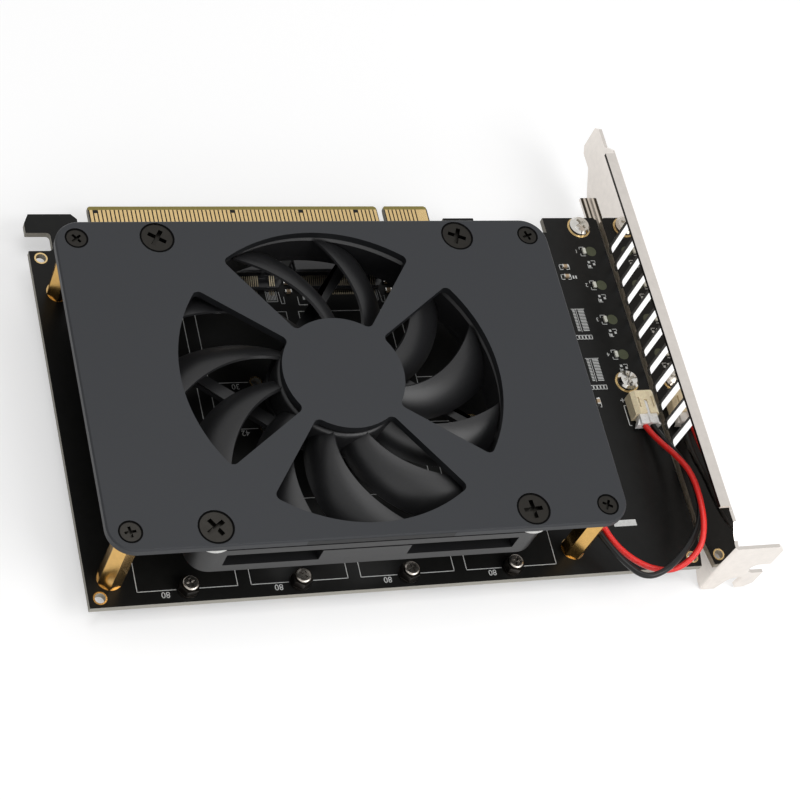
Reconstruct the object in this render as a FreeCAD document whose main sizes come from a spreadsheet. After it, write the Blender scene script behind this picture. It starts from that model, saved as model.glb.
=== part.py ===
"""NVMe adapter card: a full-height slot card that carries four M.2 modules under an 80 mm fan.

All sizes are in millimetres. The card lies flat with its component side up (+Z), its edge
connector towards +Y and its slot bracket towards +X. The origin is the datum of the edge
connector: the centre line of the key notch, on the tip of the fingers, in the middle of the
board's thickness.
"""
import FreeCAD, Part
import math
import os
import Sketcher
from FreeCAD import Placement, Rotation, Vector

DIMENSIONS = {
    # printed circuit board
    "board_thick": 1.6, "board_left": -87.5, "board_right": 57.5, "board_bottom": -101.6,
    "board_edge": -8.25, "board_top_right": -3.9, "hook_top": -2.4, "hook_right": -75.1,
    "hook_gap_low": -12.5, "hook_gap_high": -7.6, "hook_gap_depth": 5.6, "corner_cut": 6.5,
    "step_left": 15.8, "step_right": 23.8, "shoulder_left": 42.6,
    "tool_hole_radius": 1.15, "screw_hole_radius": 1.4, "bracket_hole_radius": 1.6,
    "pin_hole_radius": 0.5,
    "ring_width": 0.35, "ring_wide": 1.4, "plating": 0.06,
    # edge connector
    "pin_pitch": 1.0, "pin_wide": 0.7, "pin_side": 0.65, "key_half": 0.95, "key_to_pin": 1.5,
    "bevel_run": 1.3, "bevel_drop": 0.45, "pin_start": 1.3, "pin_long": 5.4, "short_pin_start": 2.2,
    # M.2 bays
    "bay_first": -66.0, "bay_pitch": 25.0, "module_top": -18.6, "socket_wide": 21.9,
    "socket_back": -17.55, "socket_mouth": -21.5, "socket_lip": -24.4, "socket_tall": 4.2,
    "lip_tall": 1.3, "mouth_low": 2.3, "mouth_high": 3.4, "mouth_deep": 3.1,
    "key_rib_x": 6.125, "key_rib_wide": 1.0, "contact_wide": 0.22, "contact_pitch": 0.5,
    "contact_thick": 0.12, "tail_long": 1.1, "post_radius": 2.35, "post_base": 0.5,
    "post_flats": 4.0, "post_tall": 2.45, "post_bore": 1.0, "post_foot": 1.5,
    "module_screw_head": 1.75, "module_screw_tall": 0.6, "module_screw_long": 2.4,
    # small parts on the board
    "led_x": 51.2, "led_first": -14.05, "led_pitch": 10.03, "led_wide": 0.8, "led_long": 1.6,
    "led_tall": 0.5, "chip_wide": 0.8, "chip_long": 1.6, "chip_tall": 0.75, "chip_cap": 0.3,
    # fan axis, pillars and cover plate
    "fan_x": -28.6, "fan_y": -59.3, "pillar_x": 53.7, "pillar_y": 35.75, "pillar_flats": 5.0,
    "pillar_tall": 19.0, "pillar_bore": 1.25, "cover_long": 117.1, "cover_wide": 80.4,
    "cover_thick": 2.0, "cover_corner": 6.0, "cover_bevel": 0.35, "window_outer": 36.8,
    "window_inner": 14.0, "window_angle": 35.9, "window_side": 0.54, "window_corner": 1.4,
    "small_sink": 2.6, "large_sink": 3.95, "washer_radius": 4.65, "washer_thick": 0.8,
    # fan
    "fan_size": 80.0, "fan_tall": 9.2, "fan_hole_pitch": 71.5, "fan_hole": 2.2, "fan_corner": 5.0,
    "flange_thick": 2.6, "duct_bore": 37.5, "duct_outer": 39.2, "duct_flare": 1.1,
    "bearing_gap": 0.05, "base_radius": 14.6, "base_thick": 1.2, "strut_wide": 3.0, "strut_offset": 13.7,
    "post_outer": 3.4, "bearing_outer": 2.2, "shaft_radius": 1.0, "shaft_top": 8.4,
    "hub_radius": 14.3, "hub_wall": 1.4, "hub_low": 2.0, "hub_high": 8.9, "blade_tip": 36.9,
    "blade_low": 2.5, "blade_high": 8.6, "blade_thick": 1.1, "blade_count": 11,
    "blade_span": 19.5, "blade_bow": 0.1, "post_tall_fan": 6.6, "strut_tall": 1.6,
    "yoke_wall": 0.8, "magnet_wall": 1.2, "stator_radius": 10.4,
    # slot bracket
    "bracket_face": 59.05, "bracket_thick": 0.86, "bracket_wide": 18.42, "bracket_flange": 3.1,
    "bend_radius": 0.8, "bracket_top": 15.6, "tab_face": -104.4, "tab_deep": 12.4,
    "vent_first": -14.3, "vent_pitch": 5.04, "vent_wide": 2.5, "vent_corner": 0.8, "vent_low": 0.9,
    "vent_high": 14.0, "vent_count": 12, "ear_screw_x": 51.8, "ear_screw_top": -6.9, "ear_screw_low": -51.9,
    # fan lead and its connector
    "header_x": 52.9, "header_wide": 6.2, "header_tall": 3.9, "header_deep": 6.2,
    "header_front": -62.7, "lead_thick": 1.4, "lead_pitch": 2.0, "lead_tall": 2.8,
    "plug_wide": 4.6, "plug_tall": 2.6, "plug_out": 2.5, "plug_in": 4.6, "pin_square": 0.6,
    "contact_square": 1.3, "lead_face": 8.8, "lead_middle": -85.7,
}

doc = FreeCAD.newDocument("nvme_adapter_card")
sheet = doc.addObject("Spreadsheet::Sheet", "Dimensions")
for row, (alias, number) in enumerate(DIMENSIONS.items(), start=1):
    sheet.set("A%d" % row, alias)
    sheet.set("B%d" % row, str(number))
    sheet.setAlias("B%d" % row, alias)
doc.recompute()


def size(alias):
    """The number that a cell of the sheet holds."""
    return float(sheet.get(alias))


def cell(text):
    """An expression over the sheet: every known alias gets the sheet's name before it."""
    words = text.replace("(", " ( ").replace(")", " ) ").split()
    return " ".join("Dimensions." + word if word in DIMENSIONS else word for word in words)


def bind(thing, path, text):
    thing.setExpression(path, cell(text))


kept = []            # the finished sub-parts, in the order they are made


def keep(thing, name):
    thing.Label = name
    kept.append(thing)
    return thing


# ---------------------------------------------------------------- bodies, sketches, features
def make_body(name, x="0", y="0", z="0", turn=0.0):
    body = doc.addObject("PartDesign::Body", name)
    body.Label = name
    body.Placement = Placement(Vector(), Rotation(Vector(0, 0, 1), turn))
    for axis, text in (("x", x), ("y", y), ("z", z)):
        bind(body, "Placement.Base." + axis, text)
    return body


def make_sketch(body, plane="XY_Plane", x="0", y="0", z="0", placement=None):
    """A sketch on one of the body's own origin planes, shifted by x, y and z or placed freely."""
    sketch = body.newObject("Sketcher::SketchObject", body.Name + "_sketch")
    base = [item for item in body.Origin.OriginFeatures if item.Role == plane][0]
    sketch.AttachmentSupport = [(base, "")]
    sketch.MapMode = "FlatFace"
    if placement:
        sketch.AttachmentOffset = placement
        return sketch
    for axis, text in (("x", x), ("y", y), ("z", z)):
        bind(sketch, "AttachmentOffset.Base." + axis, text)
    return sketch


def add_circle(sketch, radius, x=0.0, y=0.0):
    """A circle whose radius is bound to the sheet."""
    number = sketch.addGeometry(Part.Circle(Vector(x, y, 0), Vector(0, 0, 1), 1.0), False)
    if x == 0 and y == 0:
        sketch.addConstraint(Sketcher.Constraint("Coincident", number, 3, -1, 1))
    limit = sketch.addConstraint(Sketcher.Constraint("Radius", number, 1.0))
    bind(sketch, "Constraints[%d]" % limit, radius)


def add_box(sketch, wide, deep):
    """A rectangle centred on the sketch's origin, its two sizes bound to the sheet."""
    corners = [Vector(-1, -1, 0), Vector(1, -1, 0), Vector(1, 1, 0), Vector(-1, 1, 0)]
    first = sketch.GeometryCount
    for start, end in zip(corners, corners[1:] + corners[:1]):
        sketch.addGeometry(Part.LineSegment(start, end), False)
    for step in range(4):
        sketch.addConstraint(Sketcher.Constraint(
            "Coincident", first + step, 2, first + (step + 1) % 4, 1))
        sketch.addConstraint(Sketcher.Constraint(
            "Vertical" if step % 2 else "Horizontal", first + step))
    sketch.addConstraint(Sketcher.Constraint("Symmetric", first, 1, first + 2, 1, -1, 1))
    across = sketch.addConstraint(Sketcher.Constraint("DistanceX", first, 1, first, 2, 2.0))
    along = sketch.addConstraint(Sketcher.Constraint("DistanceY", first + 1, 1, first + 1, 2, 2.0))
    bind(sketch, "Constraints[%d]" % across, wide)
    bind(sketch, "Constraints[%d]" % along, deep)


def add_outline(sketch, points):
    """A closed outline of straight runs; a run given as three points is an arc."""
    for run in points:
        ends = [Vector(u, v, 0) for u, v in run]
        edge = Part.LineSegment(*ends) if len(ends) == 2 else Part.Arc(*ends)
        sketch.addGeometry(edge, False)


def runs(*corners):
    """Straight runs round a closed list of corners."""
    return list(zip(corners, corners[1:] + corners[:1]))


def pad(body, sketch, length, midplane=False, reverse=False):
    feature = body.newObject("PartDesign::Pad", body.Name + "_pad")
    feature.Profile = sketch
    bind(feature, "Length", length)
    if midplane:
        feature.Midplane = True
    feature.Reversed = reverse
    doc.recompute()
    return feature


def cut(body, sketch, depth, reverse=False, midplane=False):
    """A pocket that must take something away."""
    doc.recompute()
    before = body.Shape.Volume
    feature = body.newObject("PartDesign::Pocket", body.Name + "_pocket")
    feature.Profile = sketch
    bind(feature, "Length", depth)
    feature.Midplane = midplane
    feature.Reversed = reverse
    doc.recompute()
    if not body.Shape.Volume < before - 1e-4:
        raise RuntimeError("a pocket of %s cuts nothing" % body.Name)
    return feature


def turn(body, points, plane="XZ_Plane"):
    """A solid of revolution about the upright axis of the sketch plane."""
    sketch = make_sketch(body, plane)
    add_outline(sketch, points)
    feature = body.newObject("PartDesign::Revolution", body.Name + "_revolution")
    feature.Profile = sketch
    feature.ReferenceAxis = (sketch, ["V_Axis"])
    feature.Angle = 360.0
    doc.recompute()
    return feature


def groove_round(body, points, x="0", z="0"):
    """A ring of the outlined section, turned out of the body about an upright axis."""
    sketch = make_sketch(body, "XZ_Plane", x=x, z=z)
    add_outline(sketch, points)
    feature = body.newObject("PartDesign::Groove", body.Name + "_groove")
    feature.Profile = sketch
    feature.ReferenceAxis = (sketch, ["V_Axis"])
    feature.Angle = 360.0
    doc.recompute()
    return feature


def hexagon(flats):
    """The corners of a hexagon, from its size across the flats."""
    reach = flats / math.sqrt(3)
    turns = [math.radians(60 * step) for step in range(6)]
    return [(reach * math.cos(angle), reach * math.sin(angle)) for angle in turns]


def pattern_round(body, features, count):
    """The given features, repeated round the body's Z axis."""
    feature = body.newObject("PartDesign::PolarPattern", body.Name + "_round")
    feature.Originals = features
    axis = [item for item in body.Origin.OriginFeatures if item.Role == "Z_Axis"][0]
    feature.Axis = (axis, [""])
    feature.Angle = 360.0
    bind(feature, "Occurrences", count)
    body.Tip = feature
    doc.recompute()
    return feature


def edges_where(body, test):
    """Names of the edges whose two ends and direction pass the test."""
    names = []
    for number, edge in enumerate(body.Tip.Shape.Edges, start=1):
        ends = [vertex.Point for vertex in edge.Vertexes]
        if len(ends) == 2 and test(ends[0], ends[1]):
            names.append("Edge%d" % number)
    return names


def round_edges(body, kind, names, amount):
    """A fillet or chamfer on the named edges of the body's last feature."""
    base = body.Tip
    feature = body.newObject("PartDesign::" + kind, body.Name + "_" + kind.lower())
    feature.Base = (base, names)
    bind(feature, "Radius" if kind == "Fillet" else "Size", amount)
    doc.recompute()
    if not names or "Invalid" in feature.State:
        raise RuntimeError("%s of %s fails on %s" % (kind, body.Name, names))
    return feature


def upright(start, end):
    return abs(start.x - end.x) < 1e-4 and abs(start.y - end.y) < 1e-4


def group(name, solids):
    """Like pieces that share one node, each a separate solid."""
    feature = doc.addObject("Part::Feature", name)
    feature.Shape = Part.makeCompound(solids)
    return keep(feature, name)


def copies(master, places, turns=None):
    """Moved copies of a body's solid, each turned about its own upright axis."""
    made = []
    for number, place in enumerate(places):
        angle = turns[number] if turns else 0.0
        solid = master.Shape.copy()
        solid.Placement = Placement(Vector(*place), Rotation(Vector(0, 0, 1), angle))
        made.append(solid)
    return made


# ---------------------------------------------------------------- shared places
top = size("board_thick") / 2
fan_x, fan_y = size("fan_x"), size("fan_y")
bays = [size("bay_first") + step * size("bay_pitch") for step in range(4)]
module_lengths = (30.0, 42.0, 60.0, 80.0)
module_end = size("module_top") - module_lengths[-1]
pillars = [(fan_x + i * size("pillar_x"), fan_y + j * size("pillar_y")) for i in (-1, 1) for j in (-1, 1)]
fan_corner = size("fan_hole_pitch") / 2
fan_screws = [(fan_x + i * fan_corner, fan_y + j * fan_corner) for i in (-1, 1) for j in (-1, 1)]
ear_screws = [(size("ear_screw_x"), size("ear_screw_top")), (size("ear_screw_x"), size("ear_screw_low"))]
tool_holes = [(-85.0, -14.5), (-85.0, -99.4), (54.6, -99.2)]
spare_posts = [(x, size("module_top") - length) for x in bays for length in module_lengths[:3]]
post_holes = [(x, module_end) for x in bays]
cover_low = top + size("pillar_tall")
fan_low = cover_low - size("washer_thick") - size("fan_tall")
pin_y = size("header_front") + size("header_deep") + 0.35
pin_holes = [(size("header_x") + side * size("lead_pitch") / 2, pin_y) for side in (-1, 1)]
long_end = size("key_to_pin") + 70 * size("pin_pitch") + size("pin_side")
short_end = size("key_to_pin") + 10 * size("pin_pitch") + size("pin_side")


# ---------------------------------------------------------------- circuit board
def make_board():
    left, right, low = size("board_left"), size("board_right"), size("board_bottom")
    edge, high = size("board_edge"), size("board_top_right")
    gap_low, gap_high = size("hook_gap_low"), size("hook_gap_high")
    gap_end = left + size("hook_gap_depth")
    hook, hook_right, key, cut_off = size("hook_top"), size("hook_right"), size("key_half"), 1.1
    body = make_body("circuit_board")
    sketch = make_sketch(body)
    add_outline(sketch, runs(
        (left, low), (right - cut_off, low), (right, low + size("corner_cut")), (right, high - 0.8),
        (right - 0.8, high), (size("shoulder_left"), high), (size("shoulder_left"), edge),
        (size("step_right"), edge), (size("step_right"), high), (size("step_left"), high),
        (size("step_left"), edge), (short_end, edge), (short_end, -0.5), (short_end - 0.5, 0),
        (key + 0.5, 0), (key, -0.5), (key, edge), (-key, edge), (-key, -0.5), (-key - 0.5, 0),
        (0.5 - long_end, 0), (-long_end, -0.5), (-long_end, edge), (hook_right, edge),
        (hook_right, hook - 1.4), (hook_right - 1.3, hook), (left + 1.2, hook),
        (left, hook - 2.5), (left, gap_high), (gap_end, gap_high), (gap_end, gap_low),
        (left, gap_low)))
    pad(body, sketch, "board_thick", midplane=True)
    holes = (("tool_hole_radius", tool_holes + spare_posts), ("screw_hole_radius", pillars),
             ("bracket_hole_radius", ear_screws), ("tool_hole_radius + 0.45", post_holes),
             ("pin_hole_radius", pin_holes))
    for radius, places in holes:
        sketch = make_sketch(body, z="board_thick")
        for x, y in places:
            add_circle(sketch, radius, x, y)
        cut(body, sketch, "board_thick * 2")
    slot = edges_where(body, lambda a, b: upright(a, b) and abs(a.x - gap_end) < 0.01)
    round_edges(body, "Fillet", slot, "board_thick * 0.6")
    run, drop = size("bevel_run"), size("bevel_drop")
    wedge = make_sketch(body, "YZ_Plane")          # both corners of the finger tips are bevelled
    add_outline(wedge, runs((0.1, top - drop), (0.1, top + 0.1), (-run, top + 0.1), (-run, top)))
    add_outline(wedge, runs((0.1, drop - top), (0.1, -top - 0.1), (-run, -top - 0.1), (-run, -top)))
    cut(body, wedge, "step_left * 12", midplane=True)
    keep(body, "circuit_board")


def finger_places():
    """Centre and start of each contact: pins 1 to 82, two of them joined into the wide pad."""
    places = []
    for pin in range(1, 83):
        if pin <= 11:
            x = size("key_to_pin") + (11 - pin) * size("pin_pitch")
        else:
            x = -size("key_to_pin") - (pin - 12) * size("pin_pitch")
        places.append((pin, x))
    return places


def make_fingers(name, side):
    """The gold contacts of one face: thin plates that stop at the bevel of the tongue."""
    sensing = (17, 31, 48, 81)
    solids = []
    for pin, x in finger_places():
        start = -size("short_pin_start") if side > 0 and pin in sensing else -size("pin_start")
        half = size("pin_wide") / 2
        low = x - half
        wide = size("pin_wide")
        if side > 0 and pin in (1, 2):
            wide += size("pin_pitch") - size("pin_wide")     # the supply pins run into one pad
            low = x - half - (size("pin_pitch") - size("pin_wide"))
        base = top if side > 0 else -top - size("plating")
        corner = Vector(low, -size("pin_start") - size("pin_long"), base)
        long = start + size("pin_start") + size("pin_long")
        solids.append(Part.makeBox(wide, long, size("plating"), corner))
    if side > 0:
        joined = solids[0].fuse(solids[1:3]).removeSplitter()
        solids = [joined] + solids[3:]
    group(name, solids)


def make_rings(name, side):
    """Plated rings round the holes of one face."""
    base = top if side > 0 else -top - size("plating")
    rings = [(place, size("tool_hole_radius")) for place in tool_holes + spare_posts]
    rings += [(place, 1.6) for place in ear_screws] + [(place, 1.4) for place in pillars]
    if side < 0:
        rings += [(place, 1.6) for place in post_holes]
        rings += [(place, size("pin_hole_radius")) for place in pin_holes]
    solids = []
    for (x, y), bore in rings:
        outer = bore + (size("ring_width") if bore < 1.3 else size("ring_wide"))
        disc = Part.makeCylinder(outer, size("plating"), Vector(x, y, base))
        hole = Part.makeCylinder(bore, 1.0, Vector(x, y, base - 0.5))
        solids.append(disc.cut(hole))
    group(name, solids)


make_board()
make_fingers("edge_fingers_component_side", 1)
make_fingers("edge_fingers_solder_side", -1)
make_rings("hole_rings_component_side", 1)
make_rings("hole_rings_solder_side", -1)


# ---------------------------------------------------------------- M.2 sockets and their posts
def make_socket(number):
    """A key M socket: a raised bar with the mouth, over a low lip with open contacts."""
    name = "module_socket_%d" % number
    body = make_body(name, x="bay_first + bay_pitch * %d" % (number - 1), z="board_thick / 2")
    back, mouth, lip = size("socket_back"), size("socket_mouth"), size("socket_lip")
    low, high, deep = size("mouth_low"), size("mouth_high"), mouth + size("mouth_deep")
    rise, tall, ease = size("lip_tall"), size("socket_tall"), 0.4
    sketch = make_sketch(body, "YZ_Plane")
    add_outline(sketch, runs(
        (lip, 0), (back, 0), (back, tall - ease), (back - ease, tall), (mouth + ease, tall),
        (mouth, tall - ease), (mouth, high), (deep, high), (deep, low), (mouth, low),
        (mouth, rise), (lip + ease, rise), (lip, rise - ease)))
    pad(body, sketch, "socket_wide", midplane=True)
    for end in (-1, 1):                            # the corners of the lip are cut back
        sketch = make_sketch(body, z="lip_tall + 1")
        tip = end * size("socket_wide") / 2
        add_outline(sketch, runs((tip, lip), (tip, lip + 1.6), (tip - end * 1.2, lip)))
        cut(body, sketch, "lip_tall + 3")
    rib = make_sketch(body, "YZ_Plane", z="key_rib_x")      # the rib that the module's notch passes
    add_outline(rib, runs((mouth, low), (mouth, high), (deep, high), (deep, low)))
    pad(body, rib, "key_rib_wide", midplane=True)
    keep(body, name)


def make_contacts(number, x):
    """Two rows of solder tails, and the springs that rise from the lip towards the mouth."""
    pitch, wide, thick = size("contact_pitch"), size("contact_wide"), size("contact_thick")
    tail, back, lip = size("tail_long"), size("socket_back"), size("socket_lip")
    foot, rise = lip + 0.55, size("lip_tall")
    end, height = size("socket_mouth") - 0.05, size("mouth_low") - thick - 0.05
    section = [(foot, rise), (end, height), (end, height + thick), (foot, rise + thick)]
    solids = []
    for step in range(-18, 19):
        if 5.0 < step * pitch < 8.0:
            continue                               # the four positions that the key takes up
        side = x + step * pitch - wide / 2
        for start in (back, lip - tail):
            solids.append(Part.makeBox(wide, tail, thick, Vector(side, start, top)))
        corners = [Vector(side, y, top + z) for y, z in section]
        face = Part.Face(Part.makePolygon(corners + corners[:1]))
        solids.append(face.extrude(Vector(wide, 0, 0)))
    group("socket_contacts_%d" % number, solids)


def make_posts():
    """The hexagonal posts that the modules' free ends rest on, each with its clamping screw."""
    bore, foot, radius, base = size("post_bore"), size("post_foot"), size("post_radius"), size("post_base")
    thick, tall = size("board_thick"), size("post_tall")
    master = make_body("module_post_master")
    turn(master, runs((bore, -thick), (foot, -thick), (foot, 0), (radius, 0), (radius, base), (bore, base)))
    sketch = make_sketch(master, z="post_base")
    add_outline(sketch, runs(*hexagon(size("post_flats"))))
    add_circle(sketch, "post_bore")
    pad(master, sketch, "post_tall - post_base")
    places = [(x, module_end, top) for x in bays]
    group("module_posts", copies(master, places, (8, 31, 17, 44)))

    head, high = size("module_screw_head"), tall + size("module_screw_tall")
    end, shank = tall - size("module_screw_long"), bore - 0.05
    screw = make_body("module_screw_master")
    turn(screw, [((0, end), (shank, end)), ((shank, end), (shank, tall)), ((shank, tall), (head, tall)),
                 ((head, tall), (head, high - 0.25)),
                 ((head, high - 0.25), (head - 0.2, high - 0.08), (head - 0.6, high)),
                 ((head - 0.6, high), (0, high)), ((0, high), (0, end))])
    cross_recess(screw, high, 2.0, 0.46, 0.4)
    group("module_screws", copies(screw, places, (15, 50, 28, 70)))


def cross_recess(body, height, across, wide, deep):
    """A cross-head recess in the top of a screw."""
    sketch = make_sketch(body, z=str(height))
    a, b = across / 2, wide / 2
    add_outline(sketch, runs((a, -b), (a, b), (b, b), (b, a), (-b, a), (-b, b), (-a, b), (-a, -b),
                             (-b, -b), (-b, -a), (b, -a), (b, -b)))
    cut(body, sketch, str(deep))


for bay, bay_x in enumerate(bays, start=1):
    make_socket(bay)
    make_contacts(bay, bay_x)
make_posts()


# ---------------------------------------------------------------- small parts on the board
def make_small_parts():
    """Side lamps behind the bracket's vents, and the chip capacitors that can be seen."""
    lamp = (size("led_wide"), size("led_long"), size("led_tall"))
    lamps = []
    for step in range(4):
        y = size("led_first") - step * size("led_pitch")
        corner = Vector(size("led_x") - lamp[0] / 2, y - lamp[1] / 2, top)
        box = Part.makeBox(*lamp, corner)
        lamps.append(box.makeFillet(0.12, [edge for edge in box.Edges if edge.BoundBox.ZLength > 0.3]))
    group("status_leds", lamps)

    between = [x + size("bay_pitch") / 2 for x in bays]
    places = [(x, y, 0) for x in between for y in (-19.8, -22.2, -24.7)]
    places += [(44.6, -18.6, 0), (44.3, -21.5, 0), (42.5, -57.2, 90)]
    long, wide, tall, cap = size("chip_long"), size("chip_wide"), size("chip_tall"), size("chip_cap")
    bodies, ends = [], []
    for x, y, angle in places:
        middle = Part.makeBox(long - 2 * cap, wide, tall - 0.05, Vector(cap - long / 2, -wide / 2, 0))
        left = Part.makeBox(cap, wide, tall, Vector(-long / 2, -wide / 2, 0))
        right = Part.makeBox(cap, wide, tall, Vector(long / 2 - cap, -wide / 2, 0))
        for solid, pile in ((middle, bodies), (left, ends), (right, ends)):
            solid.Placement = Placement(Vector(x, y, top), Rotation(Vector(0, 0, 1), angle)) * solid.Placement
            pile.append(solid)
    group("chip_capacitors", bodies)
    group("chip_terminals", ends)


make_small_parts()


# ---------------------------------------------------------------- pillars, cover plate, screws
def make_pillars():
    master = make_body("pillar_master")
    sketch = make_sketch(master)
    add_outline(sketch, runs(*hexagon(size("pillar_flats"))))
    pad(master, sketch, "pillar_tall - plating")
    sketch = make_sketch(master, z="pillar_tall")
    add_circle(sketch, "pillar_bore")
    cut(master, sketch, "pillar_tall * 2")
    places = [(x, y, top + size("plating")) for x, y in pillars]
    group("cover_pillars", copies(master, places, (20, 12, 34, 20)))


def make_screws():
    """Countersunk screws of the cover, and the pan-head screws that hold the pillars and ears."""
    small = make_body("cover_screw_master")
    turn(small, runs((0, -7.0), (1.2, -7.0), (1.2, -1.15), (2.25, -0.1), (2.25, 0), (0, 0)))
    cross_recess(small, 0.0, 2.5, 0.6, 0.9)
    height = cover_low + size("cover_thick") - 0.12
    group("cover_screws", copies(small, [(x, y, height) for x, y in pillars], (8, 40, 62, 20)))

    large = make_body("fan_screw_master")
    turn(large, runs((0, -9.6), (0.9, -9.6), (2.0, -8.4), (2.0, -1.75), (3.55, -0.2), (3.55, 0), (0, 0)))
    cross_recess(large, 0.0, 4.4, 1.0, 1.3)
    group("fan_screws", copies(large, [(x, y, height) for x, y in fan_screws], (35, 58, 5, 68)))

    foot = make_body("pillar_screw_master")
    turn(foot, runs((0, 5.0), (1.2, 5.0), (1.2, 0), (2.2, 0), (2.2, -1.0), (1.5, -1.5), (0, -1.5)))
    group("pillar_screws", copies(foot, [(x, y, -top - size("plating")) for x, y in pillars]))

    pan = make_body("bracket_screw_master")
    turn(pan, runs((0, -3.5), (1.15, -3.5), (1.45, -3.2), (1.45, 0), (2.7, 0), (2.7, 1.0), (2.1, 1.6),
                   (0, 1.9)))
    cross_recess(pan, 1.9, 3.0, 0.7, 1.1)
    places = [(x, y, top + size("plating")) for x, y in ear_screws]
    group("bracket_screws", copies(pan, places, (30, 12)))

    washer = make_body("fan_washer_master")
    hole, rim, thick = size("fan_hole"), size("washer_radius"), size("washer_thick")
    turn(washer, runs((hole, 0), (rim, 0), (rim, thick), (hole, thick)))
    low = cover_low - size("washer_thick")
    group("fan_washers", copies(washer, [(x, y, low) for x, y in fan_screws]))


def make_cover():
    """The flat cover plate: four sector windows round a plain disc, and countersunk holes."""
    body = make_body("cover_plate", "fan_x", "fan_y", "board_thick / 2 + pillar_tall")
    sketch = make_sketch(body)
    add_box(sketch, "cover_long", "cover_wide")
    pad(body, sketch, "cover_thick")
    round_edges(body, "Fillet", edges_where(body, upright), "cover_corner")
    high = size("cover_thick")
    rim = edges_where(body, lambda a, b: abs(a.z - high) < 1e-4 and abs(b.z - high) < 1e-4)
    round_edges(body, "Chamfer", rim, "cover_bevel")

    angle, inner, outer = math.radians(size("window_angle")), size("window_inner"), size("window_outer")
    side = size("window_side")
    corners = []
    for reach in (inner, outer):                  # where a side of the window meets each arc
        along = math.sqrt(reach ** 2 - side ** 2)
        corners.append((along * math.sin(angle) + side * math.cos(angle),
                        along * math.cos(angle) - side * math.sin(angle)))
    (ax, ay), (bx, by) = corners
    sketch = make_sketch(body, z="cover_thick")
    add_outline(sketch, [((ax, ay), (bx, by)), ((bx, by), (0, outer), (-bx, by)),
                         ((-bx, by), (-ax, ay)), ((-ax, ay), (0, inner), (ax, ay))])
    window = cut(body, sketch, "cover_thick * 2")
    pattern_round(body, [window], "4")
    corner_edges = edges_where(body, lambda a, b: upright(a, b) and math.hypot(a.x, a.y) < outer + 0.1)
    round_edges(body, "Fillet", corner_edges, "window_corner")

    half_long, half_wide = size("pillar_x"), size("pillar_y")
    small = [(i * half_long, j * half_wide) for i in (-1, 1) for j in (-1, 1)]
    large = [(i * fan_corner, j * fan_corner) for i in (-1, 1) for j in (-1, 1)]
    for places, hole, sink in ((small, "1.35", "small_sink"), (large, "2.3", "large_sink")):
        sketch = make_sketch(body, z="cover_thick")
        for x, y in places:
            add_circle(sketch, hole, x, y)
        cut(body, sketch, "cover_thick * 2")
        for x, y in places:                       # each hole is sunk at ninety degrees
            drop = size(sink) - float(hole)
            groove_round(body, runs((0, high + 0.1), (size(sink) + 0.1, high + 0.1), (size(sink), high),
                                    (float(hole), high - drop), (0, high - drop)), x=str(x), z=str(-y))
    keep(body, "cover_plate")


make_pillars()
make_screws()
make_cover()


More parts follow.
